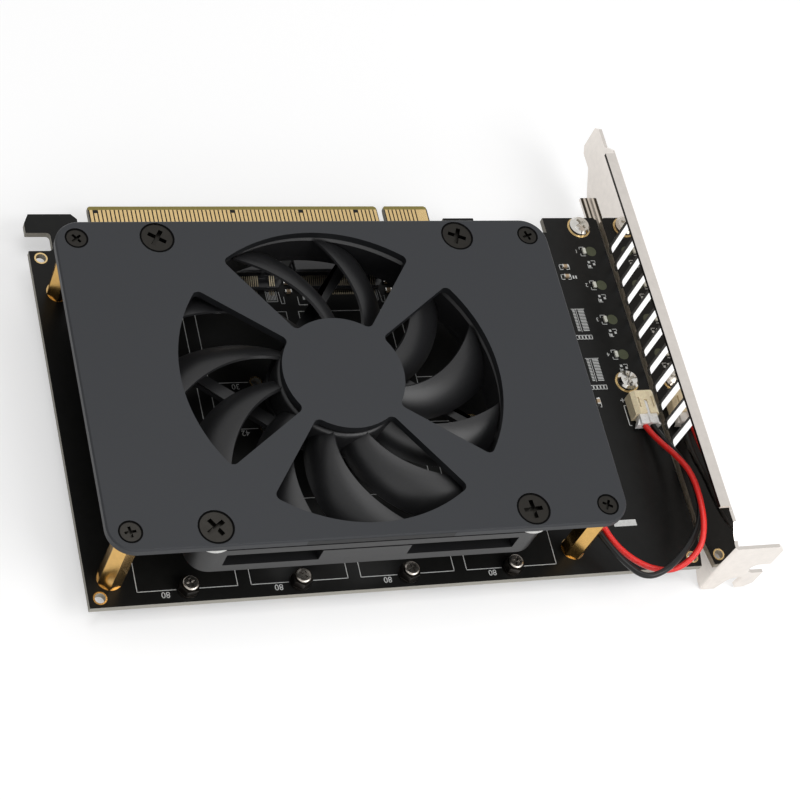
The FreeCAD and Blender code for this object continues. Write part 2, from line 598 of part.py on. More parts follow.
# ---------------------------------------------------------------- fan: frame and motor
def make_fan_frame():
    """The square housing: two flanges, a round duct, four struts and the motor's base."""
    body = make_body("fan_frame", "fan_x", "fan_y", "board_thick / 2 + pillar_tall - washer_thick - fan_tall")
    sketch = make_sketch(body)
    add_box(sketch, "fan_size", "fan_size")
    pad(body, sketch, "fan_tall")
    round_edges(body, "Fillet", edges_where(body, upright), "fan_corner")
    half, duct, post = size("fan_size") / 2, size("duct_outer"), size("fan_size") / 2 - 7.0
    meet = math.sqrt(duct ** 2 - post ** 2)
    sketch = make_sketch(body, z="fan_tall - flange_thick * 0.8")
    add_outline(sketch, [((post, meet), (post, half + 1)), ((post, half + 1), (-post, half + 1)),
                         ((-post, half + 1), (-post, meet)), ((-post, meet), (0, duct), (post, meet))])
    recess = cut(body, sketch, "fan_tall - flange_thick * 1.8")
    pattern_round(body, [recess], "4")
    tall, bore, base = size("fan_tall"), size("duct_bore"), size("base_radius")
    floor, mouth = size("strut_tall"), bore + size("duct_flare")
    # the duct, with a flared mouth, down to the struts
    groove_round(body, runs((0, floor), (bore, floor), (bore, tall - 1.3), (mouth, tall), (mouth, tall + 1),
                            (0, tall + 1)))

    # below the duct the floor is opened between the struts: four windows of one shape
    reach, wide = size("strut_offset"), size("strut_wide") / 2
    lean = math.radians(231.2)

    def strut_side(offset, radius, step):
        """Where one side of a strut crosses a circle; the strut runs square to its radius."""
        out = (math.cos(lean + step * math.pi / 2), math.sin(lean + step * math.pi / 2))
        run = (out[1], -out[0])
        along = math.sqrt(radius ** 2 - offset ** 2)
        return (out[0] * offset + run[0] * along, out[1] * offset + run[1] * along)

    def on_circle(radius, start, end):
        """The middle of the shorter arc between two points of a circle."""
        middle = ((start[0] + end[0]) / 2, (start[1] + end[1]) / 2)
        scale = radius / math.hypot(*middle)
        return (middle[0] * scale, middle[1] * scale)

    rim = bore - 0.02
    one, two = strut_side(reach + wide, rim, 0), strut_side(reach - wide, rim, 1)
    hub_one, hub_two = strut_side(reach + wide, base + 0.75, 0), strut_side(reach - wide, base, 1)
    sketch = make_sketch(body, z="strut_tall")
    far, near = on_circle(rim, one, two), on_circle(base, hub_one, hub_two)
    near = (near[0] * 1.02, near[1] * 1.02)
    add_outline(sketch, [(one, far, two), (two, hub_two), (hub_two, near, hub_one), (hub_one, one)])
    window = cut(body, sketch, "strut_tall * 2")
    pattern_round(body, [window], "4")

    sketch = make_sketch(body, z="strut_tall")     # the tube that holds the bearing
    add_circle(sketch, "post_outer")
    pad(body, sketch, "post_tall_fan - strut_tall")
    sketch = make_sketch(body, z="post_tall_fan")
    add_circle(sketch, "bearing_outer")
    cut(body, sketch, "post_tall_fan - base_thick * 0.7")

    corner = fan_corner
    sketch = make_sketch(body, z="fan_tall")
    for x, y in [(i * corner, j * corner) for i in (-1, 1) for j in (-1, 1)]:
        add_circle(sketch, "fan_hole", x, y)
    cut(body, sketch, "fan_tall * 2")

    # a block in the side recess, which the two lead wires come out of
    face, lead_mid = size("lead_face") - fan_x, size("lead_middle") - fan_y
    sketch = make_sketch(body, z="flange_thick - 0.3")
    wall = math.sqrt((duct - 1.0) ** 2 - (lead_mid + 3.2) ** 2)
    add_outline(sketch, runs((wall - 4, lead_mid - 3.2), (face, lead_mid - 3.2), (face, lead_mid + 3.2),
                             (wall, lead_mid + 3.2)))
    pad(body, sketch, "fan_tall - flange_thick * 1.6")
    keep(body, "fan_frame")


def make_motor():
    """What the hub hides: bearing, shaft, stator, windings and the fan's own circuit board."""
    place = ("fan_x", "fan_y", "board_thick / 2 + pillar_tall - washer_thick - fan_tall")
    shaft, gap, sleeve = size("shaft_radius"), size("bearing_gap"), size("bearing_outer")
    bearing = make_body("sleeve_bearing", *place)
    bore = shaft + gap
    turn(bearing, runs((bore, 2.2), (sleeve, 2.2), (sleeve, 6.2), (sleeve - 0.3, 6.5), (bore, 6.5)))
    keep(bearing, "sleeve_bearing")

    rod = make_body("fan_shaft", *place)
    neck = shaft - 0.25                             # the groove that the clip snaps into
    turn(rod, runs((0, 1.2), (shaft - 0.2, 1.2), (shaft, 1.4), (shaft, 1.5), (neck, 1.5), (neck, 1.9),
                   (shaft, 1.9), (shaft, size("shaft_top")), (0, size("shaft_top"))))
    keep(rod, "fan_shaft")

    clip = make_body("shaft_clip", *place)
    turn(clip, runs((neck, 1.55), (1.75, 1.55), (1.75, 1.85), (neck, 1.85)))
    keep(clip, "shaft_clip")

    post, stator = size("post_outer"), size("stator_radius")
    plate = make_body("fan_circuit_board", *place)
    turn(plate, runs((post, size("strut_tall")), (12.0, size("strut_tall")), (12.0, 2.3), (post, 2.3)))
    keep(plate, "fan_circuit_board")

    core = make_body("stator_core", *place)
    sketch = make_sketch(core, z="3.2")
    add_circle(sketch, "post_outer + 1.5")
    add_circle(sketch, "post_outer")
    pad(core, sketch, "2.3")
    pole, arm, tip = math.radians(36), 1.3, stator - 1.0
    inner = (math.sqrt((post + 1.4) ** 2 - arm ** 2), arm)
    shoulder = (math.sqrt(tip ** 2 - arm ** 2), arm)
    shoe_in = (tip * math.cos(pole), tip * math.sin(pole))
    shoe_out = (stator * math.cos(pole), stator * math.sin(pole))
    mirror = [(x, -y) for x, y in (inner, shoulder, shoe_in, shoe_out)]
    bow = (tip * math.cos(pole * 0.55), tip * math.sin(pole * 0.55))
    sketch = make_sketch(core, z="3.2")
    add_outline(sketch, [
        (inner, shoulder), (shoulder, bow, shoe_in), (shoe_in, shoe_out), (shoe_out, (stator, 0), mirror[3]),
        (mirror[3], mirror[2]), (mirror[2], (bow[0], -bow[1]), mirror[1]), (mirror[1], mirror[0]),
        (mirror[0], inner)])
    arm_pad = pad(core, sketch, "2.3")
    pattern_round(core, [arm_pad], "4")
    keep(core, "stator_core")

    coils = []
    for step in range(4):                           # a coil of wire round each arm of the core
        outer = Part.makeBox(2.9, 4.4, 3.5, Vector(5.6, -2.2, 2.6))
        outer = outer.makeFillet(0.9, [edge for edge in outer.Edges if edge.BoundBox.XLength > 2.5])
        hole = Part.makeBox(4.0, 2 * arm, 2.3, Vector(5.0, -arm, 3.2))
        coil = outer.cut(hole)
        coil.rotate(Vector(0, 0, 0), Vector(0, 0, 1), 90 * step)
        coil.translate(Vector(fan_x, fan_y, fan_low))
        coils.append(coil)
    group("stator_windings", coils)


def make_rotor():
    """The impeller with its hub and eleven blades, and the magnet and steel cup inside it."""
    place = ("fan_x", "fan_y", "board_thick / 2 + pillar_tall - washer_thick - fan_tall")
    hub, wall, low, high = size("hub_radius"), size("hub_wall"), size("hub_low"), size("hub_high")
    shaft, rod_top = size("shaft_radius"), size("shaft_top")
    body = make_body("fan_impeller", *place)
    inner, roof, boss, seat = hub - wall, high - wall, 2.3, 6.9
    turn(body, [((shaft, seat), (boss, seat)), ((boss, seat), (boss, roof)), ((boss, roof), (inner, roof)),
                ((inner, roof), (inner, low)), ((inner, low), (hub, low)), ((hub, low), (hub, high - 1.0)),
                ((hub, high - 1.0), (hub - 0.3, high - 0.3), (hub - 1.0, high)),
                ((hub - 1.0, high), (0, high)), ((0, high), (0, rod_top)), ((0, rod_top), (shaft, rod_top)),
                ((shaft, rod_top), (shaft, seat))])
    sections = []
    for radius in (hub - 0.8, 21.0, 29.0, size("blade_tip") + 1.0):
        reach = (radius - 25.0) / 10.0
        lead = -61.0 + 14.03 * reach + 0.94 * reach ** 2 - 0.58 * reach ** 3
        span = size("blade_span")
        middle = math.radians(lead - span / 2)
        half = radius * math.sin(math.radians(span / 2))
        away = radius * math.cos(math.radians(span / 2))
        low_end, high_end = Vector(-half, size("blade_low"), 0), Vector(half, size("blade_high"), 0)
        chord = high_end - low_end
        normal = Vector(-chord.y, chord.x, 0) / chord.Length
        thick = size("blade_thick") * (1.15 - 0.25 * (radius - hub) / (size("blade_tip") - hub))
        bow, edge = chord.Length * size("blade_bow"), thick * 0.28
        centre = (low_end + high_end) / 2
        above, below = centre + normal * (bow + thick / 2), centre + normal * (bow - thick / 2)
        corners = [low_end + normal * edge, high_end + normal * edge,
                   high_end - normal * edge, low_end - normal * edge]
        # the sketch stands upright, square to the radius through the middle of the blade
        outward = Vector(math.cos(middle), math.sin(middle), 0)
        along = Vector(-math.sin(middle), math.cos(middle), 0)
        upright_plane = Placement(outward * away, Rotation(along, Vector(0, 0, 1), outward, "XYZ"))
        sketch = make_sketch(body, placement=upright_plane)
        sketch.addGeometry(Part.Arc(corners[0], above, corners[1]), False)
        sketch.addGeometry(Part.LineSegment(corners[1], corners[2]), False)
        sketch.addGeometry(Part.Arc(corners[2], below, corners[3]), False)
        sketch.addGeometry(Part.LineSegment(corners[3], corners[0]), False)
        sections.append(sketch)
    doc.recompute()
    blade = body.newObject("PartDesign::AdditiveLoft", "fan_blade")
    blade.Profile = sections[0]
    blade.Sections = sections[1:]
    blade.Ruled = False
    doc.recompute()
    pattern_round(body, [blade], "blade_count")
    tip = size("blade_tip")                         # the tips are trimmed to the duct's round bore
    groove_round(body, runs((tip, -3), (tip + 9, -3), (tip + 9, high + 3), (tip, high + 3)))
    keep(body, "fan_impeller")

    cup = inner - size("yoke_wall")
    yoke = make_body("rotor_yoke", *place)
    turn(yoke, runs((boss, roof - size("yoke_wall")), (cup, roof - size("yoke_wall")), (cup, 2.7),
                    (inner, 2.7), (inner, roof), (boss, roof)))
    keep(yoke, "rotor_yoke")
    face = cup - size("magnet_wall")
    ring_magnet = make_body("magnet_ring", *place)
    turn(ring_magnet, runs((face, 2.9), (cup, 2.9), (cup, 6.4), (face, 6.4)))
    keep(ring_magnet, "magnet_ring")


make_fan_frame()
make_motor()
make_rotor()


# ---------------------------------------------------------------- slot bracket
def make_bracket():
    """A full-height slot bracket, bent from one sheet: channel, vents, ears, tongue and tab."""
    thick, outer = size("bracket_thick"), size("bracket_face")
    under = -top - size("plating") - thick
    crown = under + size("bracket_wide")
    body = make_body("slot_bracket", x="bracket_face")
    tab, up = size("tab_face"), size("bracket_top")
    sketch = make_sketch(body, "YZ_Plane")
    add_outline(sketch, runs(
        (3.7, under), (9.2, 3.0), (9.7, 3.4), (up - 1.5, 3.4), (up, 4.9), (up, 12.1), (up - 1.5, 13.6),
        (8.6, 13.6), (8.2, 14.0), (5.2, crown), (-94.8, crown), (-95.4, 16.2), (-98.4, 16.2),
        (-101.2, 14.6), (-103.0, 13.9), (tab, 13.9), (tab, -6.1), (-102.4, -6.1), (-96.6, -3.9),
        (-94.9, under)))
    pad(body, sketch, "bracket_thick", reverse=True)
    reach = size("bracket_flange")
    for z, near, far in ((crown - thick, 4.3, -94.6), (under, 3.4, -94.6)):
        sketch = make_sketch(body, x=str(-reach / 2), y=str((near + far) / 2), z=str(z))
        add_box(sketch, "bracket_flange", str(near - far))
        pad(body, sketch, "bracket_thick")
    for x, y in ear_screws:                         # ears under the board, tapped for its screws
        sketch = make_sketch(body, z=str(under))
        start, end, half = -size("bracket_flange") + 0.5, x - outer, 3.6
        add_outline(sketch, [
            ((start, y - half), (start, y + half)), ((start, y + half), (end, y + half)),
            ((end, y + half), (end - half, y), (end, y - half)), ((end, y - half), (start, y - half))])
        pad(body, sketch, "bracket_thick")
        sketch = make_sketch(body, z=str(under + thick))
        add_circle(sketch, "1.45", x - outer, y)
        cut(body, sketch, "bracket_thick * 2")
    deep = size("tab_deep")
    sketch = make_sketch(body, "XZ_Plane", z=str(-tab))     # the screw tab, bent outwards
    notch, mouth = 3.2, 2.1
    start = (-thick, -6.1)
    add_outline(sketch, [
        (start, (3.0, -6.1)), ((3.0, -6.1), (4.0, -3.2)), ((4.0, -3.2), (6.2, -0.9), (8.0, -1.1)),
        ((8.0, -1.1), (7.6, -5.2)), ((7.6, -5.2), (8.3, -6.1)), ((8.3, -6.1), (10.6, -6.1)),
        ((10.6, -6.1), (deep, -4.3)), ((deep, -4.3), (deep, notch - mouth)),
        ((deep, notch - mouth), (9.9, notch - mouth)),
        ((9.9, notch - mouth), (7.8, notch), (9.9, notch + mouth)),
        ((9.9, notch + mouth), (deep, notch + mouth)), ((deep, notch + mouth), (deep, 12.1)),
        ((deep, 12.1), (10.6, 13.9)), ((10.6, 13.9), (-thick, 13.9)), ((-thick, 13.9), start)])
    pad(body, sketch, "bracket_thick", reverse=True)
    outside = edges_where(body, lambda a, b: abs(a.x + thick) < 0.01 and abs(b.x + thick) < 0.01
                          and abs(a.y - tab) < 0.01 and abs(b.y - tab) < 0.01)
    round_edges(body, "Fillet", outside, "bend_radius")
    long = [name for z in (under, crown) for name in edges_where(
        body, lambda a, b: abs(a.x) < 0.01 and abs(b.x) < 0.01 and abs(a.z - z) < 0.01
        and abs(b.z - z) < 0.01 and abs(a.y - b.y) > 90)]
    round_edges(body, "Fillet", long, "bend_radius")
    low, high = size("vent_low"), size("vent_high")
    left, right = size("vent_first") - size("vent_wide") / 2, size("vent_first") + size("vent_wide") / 2
    turn_in, near = size("vent_corner"), size("vent_corner") * (1 - math.sqrt(0.5))
    sketch = make_sketch(body, "YZ_Plane")
    add_outline(sketch, [
        ((left + turn_in, low), (right - turn_in, low)),
        ((right - turn_in, low), (right - near, low + near), (right, low + turn_in)),
        ((right, low + turn_in), (right, high - turn_in)),
        ((right, high - turn_in), (right - near, high - near), (right - turn_in, high)),
        ((right - turn_in, high), (left + turn_in, high)),
        ((left + turn_in, high), (left + near, high - near), (left, high - turn_in)),
        ((left, high - turn_in), (left, low + turn_in)),
        ((left, low + turn_in), (left + near, low + near), (left + turn_in, low))])
    slot = cut(body, sketch, "bracket_thick * 2", midplane=True)
    row = body.newObject("PartDesign::LinearPattern", "slot_bracket_vents")
    row.Originals = [slot]
    axis = [item for item in body.Origin.OriginFeatures if item.Role == "Y_Axis"][0]
    row.Direction = (axis, [""])
    row.Reversed = True
    bind(row, "Length", "vent_pitch * ( vent_count - 1 )")
    bind(row, "Occurrences", "vent_count")
    body.Tip = row
    doc.recompute()
    keep(body, "slot_bracket")


make_bracket()


# ---------------------------------------------------------------- fan lead and its connector
def make_connector():
    """A two-way side-entry header and the plug that is pushed into it."""
    x, wide, tall = size("header_x"), size("header_wide"), size("header_tall")
    front, deep = size("header_front"), size("header_deep")
    centre, half = size("lead_tall"), size("lead_pitch") / 2
    shell = make_body("header_housing", x="header_x", y="header_front", z="board_thick / 2")
    sketch = make_sketch(shell, "XZ_Plane")
    edge = wide / 2
    add_outline(sketch, runs((-edge, 0), (edge, 0), (edge, tall - 0.9), (edge - 0.9, tall),
                             (0.9 - edge, tall), (-edge, tall - 0.9)))
    pad(shell, sketch, "header_deep", reverse=True)
    sketch = make_sketch(shell, "XZ_Plane", y="lead_tall - board_thick / 2")
    add_box(sketch, "plug_wide + 0.1", "plug_tall + 0.1")
    cut(shell, sketch, "header_deep - 1.2")
    sketch = make_sketch(shell, z="header_tall + 1")
    add_outline(sketch, runs((-0.4, -0.1), (0.4, -0.1), (0.4, deep * 0.6), (-0.4, deep * 0.6)))
    for side in (-1, 1):
        add_outline(sketch, runs((side * 1.75 - 0.2, deep * 0.25), (side * 1.75 + 0.2, deep * 0.25),
                                 (side * 1.75 + 0.2, deep * 0.7), (side * 1.75 - 0.2, deep * 0.7)))
    cut(shell, sketch, "header_tall - lead_tall + board_thick / 2 + 1")
    sketch = make_sketch(shell, "XZ_Plane", y="lead_tall - board_thick / 2")
    pin_hole = size("pin_square")
    for side in (-half, half):
        edge_low, edge_high = side - pin_hole / 2, side + pin_hole / 2
        add_outline(sketch, runs((edge_low, -pin_hole / 2), (edge_high, -pin_hole / 2),
                                 (edge_high, pin_hole / 2), (edge_low, pin_hole / 2)))
    cut(shell, sketch, "header_deep * 2", midplane=True)
    keep(shell, "header_housing")

    pins, square = [], size("pin_square")
    for side in (-half, half):
        bar = Part.makeBox(square, pin_y + square / 2 - front - 1.2, square,
                           Vector(x + side - square / 2, front + 1.2, centre - square / 2))
        leg = Part.makeBox(square, square, centre + square / 2 + 1.9,
                           Vector(x + side - square / 2, pin_y - square / 2, -1.9))
        pins.append(bar.fuse(leg).removeSplitter())
    group("header_pins", pins)

    plug = make_body("plug_housing", x="header_x", y="header_front", z="lead_tall")
    sketch = make_sketch(plug, "XZ_Plane", z="plug_out")
    add_box(sketch, "plug_wide", "plug_tall")
    pad(plug, sketch, "plug_out + plug_in", reverse=True)
    sketch = make_sketch(plug, z="0 - plug_tall / 2")
    flare, out = size("plug_wide") / 2, size("plug_out")
    for side in (-1, 1):                            # finger grips that widen towards the wires
        near, far = side * (flare - 0.2), side * (flare + 0.9)
        add_outline(sketch, runs((near, -0.3), (far, -out), (near, -out)))
    pad(plug, sketch, "plug_tall * 0.7")
    sketch = make_sketch(plug, z="plug_tall / 2 - 0.2")
    add_outline(sketch, runs((-0.3, -out), (0.3, -out), (0.3, 3.2), (-0.3, 3.2)))
    pad(plug, sketch, "0.7")
    sketch = make_sketch(plug, "XZ_Plane")
    hole = size("contact_square")
    for side in (-half, half):
        add_outline(sketch, runs((side - hole / 2, -hole / 2), (side + hole / 2, -hole / 2),
                                 (side + hole / 2, hole / 2), (side - hole / 2, hole / 2)))
    cut(plug, sketch, "plug_in * 4", midplane=True)
    keep(plug, "plug_housing")

    contacts = []
    inner = square + 0.1
    for side in (-half, half):
        tube = Part.makeBox(hole, size("plug_out") + size("plug_in") - 0.3, hole,
                            Vector(x + side - hole / 2, front - size("plug_out"), centre - hole / 2))
        way = Part.makeBox(inner, size("plug_out") + size("plug_in") + 1, inner,
                           Vector(x + side - inner / 2, front - size("plug_out") + 1.0, centre - inner / 2))
        contacts.append(tube.cut(way))
    group("crimp_contacts", contacts)


def rounded_path(points):
    """Straight runs joined by tangent arcs, each arc as large as its two runs allow."""
    places = [Vector(*point) for point in points]
    edges, radii = [], []
    last = places[0]
    for before, corner, after in zip(places, places[1:], places[2:]):
        come, leave = (before - corner), (after - corner)
        shorter = min(come.Length, leave.Length)
        come.normalize()
        leave.normalize()
        bend = math.pi - come.getAngle(leave)
        back = 0.45 * shorter
        radius = back / math.tan(bend / 2)
        start, end = corner + come * back, corner + leave * back
        toward = come + leave
        toward.normalize()
        middle = corner + toward * (radius / math.cos(bend / 2) - radius)
        edges.append(Part.LineSegment(last, start).toShape())
        edges.append(Part.Arc(start, middle, end).toShape())
        radii.append(radius)
        last = end
    edges.append(Part.LineSegment(last, places[-1]).toShape())
    return Part.Wire(edges), radii


def make_lead(name, points):
    """One insulated wire of the fan lead, from the block on the fan to the plug."""
    path, radii = rounded_path(points)
    radius = size("lead_thick") / 2
    along = Vector(*points[1]) - Vector(*points[0])
    circle = Part.Wire(Part.makeCircle(radius, Vector(*points[0]), along))
    tube = path.makePipeShell([circle], True, False)
    expected = math.pi * radius ** 2 * path.Length
    print(name, "length", round(path.Length, 1), "smallest radius", round(min(radii), 1),
          "volume", round(tube.Volume, 1), "of", round(expected, 1))
    if abs(tube.Volume - expected) > 0.02 * expected:
        raise RuntimeError(name + " has the wrong volume")
    group(name, [tube])


make_connector()
lead_face, lead_middle, lead_tall = size("lead_face"), size("lead_middle"), size("lead_tall")
plug_face = size("header_front") - size("plug_out")
red_x, black_x = size("header_x") - size("lead_pitch") / 2, size("header_x") + size("lead_pitch") / 2
red_route = [
    (lead_face, lead_middle + 1.0, 13.7), (15.6, lead_middle + 1.0, 13.7), (22.4, -86.5, 11.0),
    (29.4, -90.5, 8.2), (32.4, -97.2, 6.4), (38.1, -102.9, 5.8), (44.2, -105.9, 5.8), (51.7, -101.7, 8.0),
    (56.2, -92.5, 9.4), (57.0, -81.7, 8.6), (55.2, -74.3, 5.2), (red_x, -69.0, lead_tall),
    (red_x, plug_face, lead_tall)]
black_route = [
    (lead_face, lead_middle - 1.0, 13.7), (15.6, lead_middle - 1.0, 13.7), (22.8, -88.7, 10.6),
    (28.3, -92.7, 7.2), (30.6, -97.3, 7.0), (33.2, -102.5, 7.4), (36.8, -107.0, 8.0), (41.6, -106.6, 8.8),
    (47.3, -102.1, 8.6), (51.6, -97.4, 7.6), (55.9, -91.7, 7.4), (57.7, -81.5, 6.8), (57.0, -73.5, 4.0),
    (black_x, -68.4, lead_tall), (black_x, plug_face, lead_tall)]
make_lead("red_wire", red_route)
make_lead("black_wire", black_route)


# ---------------------------------------------------------------- checks and files
doc.recompute()
failed = [thing.Name for thing in doc.Objects if "Invalid" in thing.State or "Error" in thing.State]
if failed:
    raise RuntimeError("failed objects: " + ", ".join(failed))
for thing in kept:
    if thing.Shape.isNull() or not thing.Shape.isValid():
        raise RuntimeError("no valid shape: " + thing.Label)

os.makedirs("parts", exist_ok=True)
for thing in kept:
    thing.Shape.exportStep("parts/" + thing.Label + ".step")
print(len(kept), "sub-parts written")
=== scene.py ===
import bpy
import bmesh
import math
from mathutils import Matrix, Vector


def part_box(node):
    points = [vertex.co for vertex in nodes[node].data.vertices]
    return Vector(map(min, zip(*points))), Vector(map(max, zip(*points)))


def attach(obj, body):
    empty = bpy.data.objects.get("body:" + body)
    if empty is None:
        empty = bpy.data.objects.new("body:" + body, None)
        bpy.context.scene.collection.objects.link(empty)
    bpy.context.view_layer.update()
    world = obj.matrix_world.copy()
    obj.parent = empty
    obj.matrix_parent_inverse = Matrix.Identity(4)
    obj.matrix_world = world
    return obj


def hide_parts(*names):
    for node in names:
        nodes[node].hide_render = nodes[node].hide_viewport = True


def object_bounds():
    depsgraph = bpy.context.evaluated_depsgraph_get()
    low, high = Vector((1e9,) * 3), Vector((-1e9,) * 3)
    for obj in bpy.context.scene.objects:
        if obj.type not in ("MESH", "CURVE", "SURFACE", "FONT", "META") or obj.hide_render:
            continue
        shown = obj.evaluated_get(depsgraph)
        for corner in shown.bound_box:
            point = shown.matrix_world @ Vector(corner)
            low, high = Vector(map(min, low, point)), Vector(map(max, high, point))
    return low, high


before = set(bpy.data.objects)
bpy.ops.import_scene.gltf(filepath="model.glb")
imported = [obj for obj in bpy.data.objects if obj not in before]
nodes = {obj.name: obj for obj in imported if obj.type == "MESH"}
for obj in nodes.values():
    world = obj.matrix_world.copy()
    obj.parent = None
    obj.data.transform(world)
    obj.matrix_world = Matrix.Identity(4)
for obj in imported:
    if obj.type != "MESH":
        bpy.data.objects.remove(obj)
cadLow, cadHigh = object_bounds()
mm = 0.001


def addNode(tree, kind, inputs=None, **settings):
    node = tree.nodes.new(kind)
    for key, value in settings.items():
        setattr(node, key, value)
    for socket, value in (inputs or {}).items():
        if isinstance(value, bpy.types.NodeSocket):
            tree.links.new(value, node.inputs[socket])
        else:
            node.inputs[socket].default_value = value
    return node


def calc(tree, operation, *values):
    return addNode(tree, "ShaderNodeMath", dict(enumerate(values)), operation=operation).outputs[0]


def span(tree, factor, low, high, start=0.0, end=1.0):
    return addNode(tree, "ShaderNodeMapRange", {"Value": factor, "From Min": start, "From Max": end,
                                                "To Min": low, "To Max": high}).outputs[0]


# camera, floor and light

camera = {
    "place": (-198.42, -291.34, 408.90),     # mm, in the card's own frame
    "lookAt": (-7.11, -54.15, 0.0),
    "up": (0.0335, 0.8576, 0.5132),
    "lens": 99.94,
    "sensor": 36.0,
    "clip": (0.01, 20.0),                    # m
}


def makeCamera():
    data = bpy.data.cameras.new("camera")
    data.lens = camera["lens"]
    data.sensor_width = camera["sensor"]
    data.clip_start, data.clip_end = camera["clip"]
    eye = bpy.data.objects.new("camera", data)
    bpy.context.scene.collection.objects.link(eye)
    back = (Vector(camera["place"]) - Vector(camera["lookAt"])).normalized()
    side = Vector(camera["up"]).cross(back).normalized()
    top = back.cross(side)
    turn = Matrix((side, top, back)).transposed().to_4x4()
    eye.matrix_world = Matrix.Translation(Vector(camera["place"]) * mm) @ turn
    bpy.context.scene.camera = eye


studio = {
    "worldLevel": 0.40,
    "lamps": (
        # name, place mm, aims at mm, size mm, watts
        ("keySoftbox", (330, -430, 560), (0, -60, 0), (460, 460), 2.6),
        ("frontSoftbox", (-120, -620, 300), (0, -60, 0), (640, 260), 0.85),
        ("topSoftbox", (-60, 60, 760), (-20, -60, 0), (560, 360), 1.5),
    ),
    "floorColour": (0.62, 0.62, 0.62),
    "floorSize": 6.0,                        # m
    "floorDrop": 0.4,                        # mm below the card's lowest point
    "floorLift": (0.48, 0.80),               # near the card and far off: keeps the floor near white
    "floorReach": (0.30, 1.20),              # m, where the lift starts to grow and where it is full
    "hollow": ((-15.0, -55.0), (62.0, 38.0), 9.0),   # middle, half sizes and fade, mm: no lift under the card, a painted shade there
}


def makeStudio():
    scene = bpy.context.scene
    scene.view_settings.view_transform = "Standard"
    world = bpy.data.worlds.new("studio")
    scene.world = world
    world.use_nodes = True
    tree = world.node_tree
    tree.nodes.clear()
    level = span(tree, seenRay(tree), studio["worldLevel"], 1.0)
    glow = addNode(tree, "ShaderNodeBackground", {"Strength": level})
    addNode(tree, "ShaderNodeOutputWorld", {0: glow.outputs[0]})
    for name, place, aim, size, watts in studio["lamps"]:
        data = bpy.data.lights.new(name, "AREA")
        data.shape = "RECTANGLE"
        data.size, data.size_y = size[0] * mm, size[1] * mm
        data.energy = watts
        lamp = bpy.data.objects.new(name, data)
        scene.collection.objects.link(lamp)
        lamp.location = Vector(place) * mm
        lamp.rotation_euler = (Vector(aim) - Vector(place)).to_track_quat("-Z", "Y").to_euler()
    makeFloor()


def seenRay(tree):
    # 1 for what the camera sees directly, in a mirror or through glass
    path = addNode(tree, "ShaderNodeLightPath").outputs
    total = path["Is Camera Ray"]
    for way in ("Is Glossy Ray", "Is Transmission Ray"):
        total = calc(tree, "MAXIMUM", total, path[way])
    return total


def openFloor(tree, factor):
    # the floor's lift where the factor is 1, faded out on what the card covers: painted shade under the card
    (middleX, middleY), (halfX, halfY), fade = studio["hollow"]
    place = addNode(tree, "ShaderNodeNewGeometry").outputs["Position"]
    at = addNode(tree, "ShaderNodeSeparateXYZ", {0: place}).outputs
    clear = []
    for value, middle, half in ((at["X"], middleX, halfX), (at["Y"], middleY, halfY)):
        away = calc(tree, "ABSOLUTE", calc(tree, "SUBTRACT", value, middle * mm))
        clear.append(span(tree, away, 0.0, 1.0, half * mm, (half + fade) * mm))
    outside = calc(tree, "MAXIMUM", *clear)
    away = addNode(tree, "ShaderNodeVectorMath", {0: place}, operation="LENGTH").outputs["Value"]
    lift = span(tree, away, *studio["floorLift"], *studio["floorReach"])
    return calc(tree, "MULTIPLY", calc(tree, "MULTIPLY", factor, outside), lift)


def makeFloor():
    height = cadLow.z - studio["floorDrop"] * mm
    bpy.ops.mesh.primitive_plane_add(size=studio["floorSize"], location=(0, 0, height))
    floor = bpy.context.object
    floor.name = "floor"
    finish = bpy.data.materials.new("floorPaper")
    finish.use_nodes = True
    tree = finish.node_tree
    tree.nodes.clear()
    paper = addNode(tree, "ShaderNodeBsdfDiffuse", {"Color": (*studio["floorColour"], 1)})
    lift = addNode(tree, "ShaderNodeEmission", {"Strength": openFloor(tree, seenRay(tree))})
    lifted = addNode(tree, "ShaderNodeAddShader", {0: paper.outputs[0], 1: lift.outputs[0]})
    underneath = addNode(tree, "ShaderNodeNewGeometry").outputs["Backfacing"]
    clear = addNode(tree, "ShaderNodeBsdfTransparent")       # the paper isn't there from below
    sheet = addNode(tree, "ShaderNodeMixShader", {0: underneath, 1: lifted.outputs[0], 2: clear.outputs[0]})
    addNode(tree, "ShaderNodeOutputMaterial", {0: sheet.outputs[0]})
    floor.data.materials.append(finish)


makeCamera()
makeStudio()
print("camera, floor and light made")


# finishes

spreads = {"plain": (0.85, 1.15), "metal": (0.75, 1.3), "postScrew": (0.8, 1.2)}     # of the roughness


def startFinish(name, **values):
    # a material with its shader's plain values set by socket name
    finish = bpy.data.materials.new(name)
    finish.use_nodes = True
    tree = finish.node_tree
    shader = tree.nodes["Principled BSDF"]
    for socket, value in values.items():
        shader.inputs[socket].default_value = (*value, 1) if isinstance(value, tuple) else value
    return finish, tree, shader


def grain(tree, scale, detail=4.0, roughness=0.6, stretch=(1, 1, 1)):
    # noise in the card's own millimetres
    place = addNode(tree, "ShaderNodeTexCoord").outputs["Object"]
    spread = addNode(tree, "ShaderNodeMapping", {"Vector": place, "Scale": tuple(1000 * s for s in stretch)})
    return addNode(tree, "ShaderNodeTexNoise", {
        "Vector": spread.outputs[0], "Scale": scale, "Detail": detail, "Roughness": roughness}).outputs["Fac"]


def tint(tree, factor, dark, light, low=0.3, high=0.7):
    ramp = addNode(tree, "ShaderNodeValToRGB", {"Fac": factor})
    ramp.color_ramp.elements[0].position = low
    ramp.color_ramp.elements[1].position = high
    ramp.color_ramp.elements[0].color = (*dark, 1)
    ramp.color_ramp.elements[1].color = (*light, 1)
    return ramp.outputs["Color"]


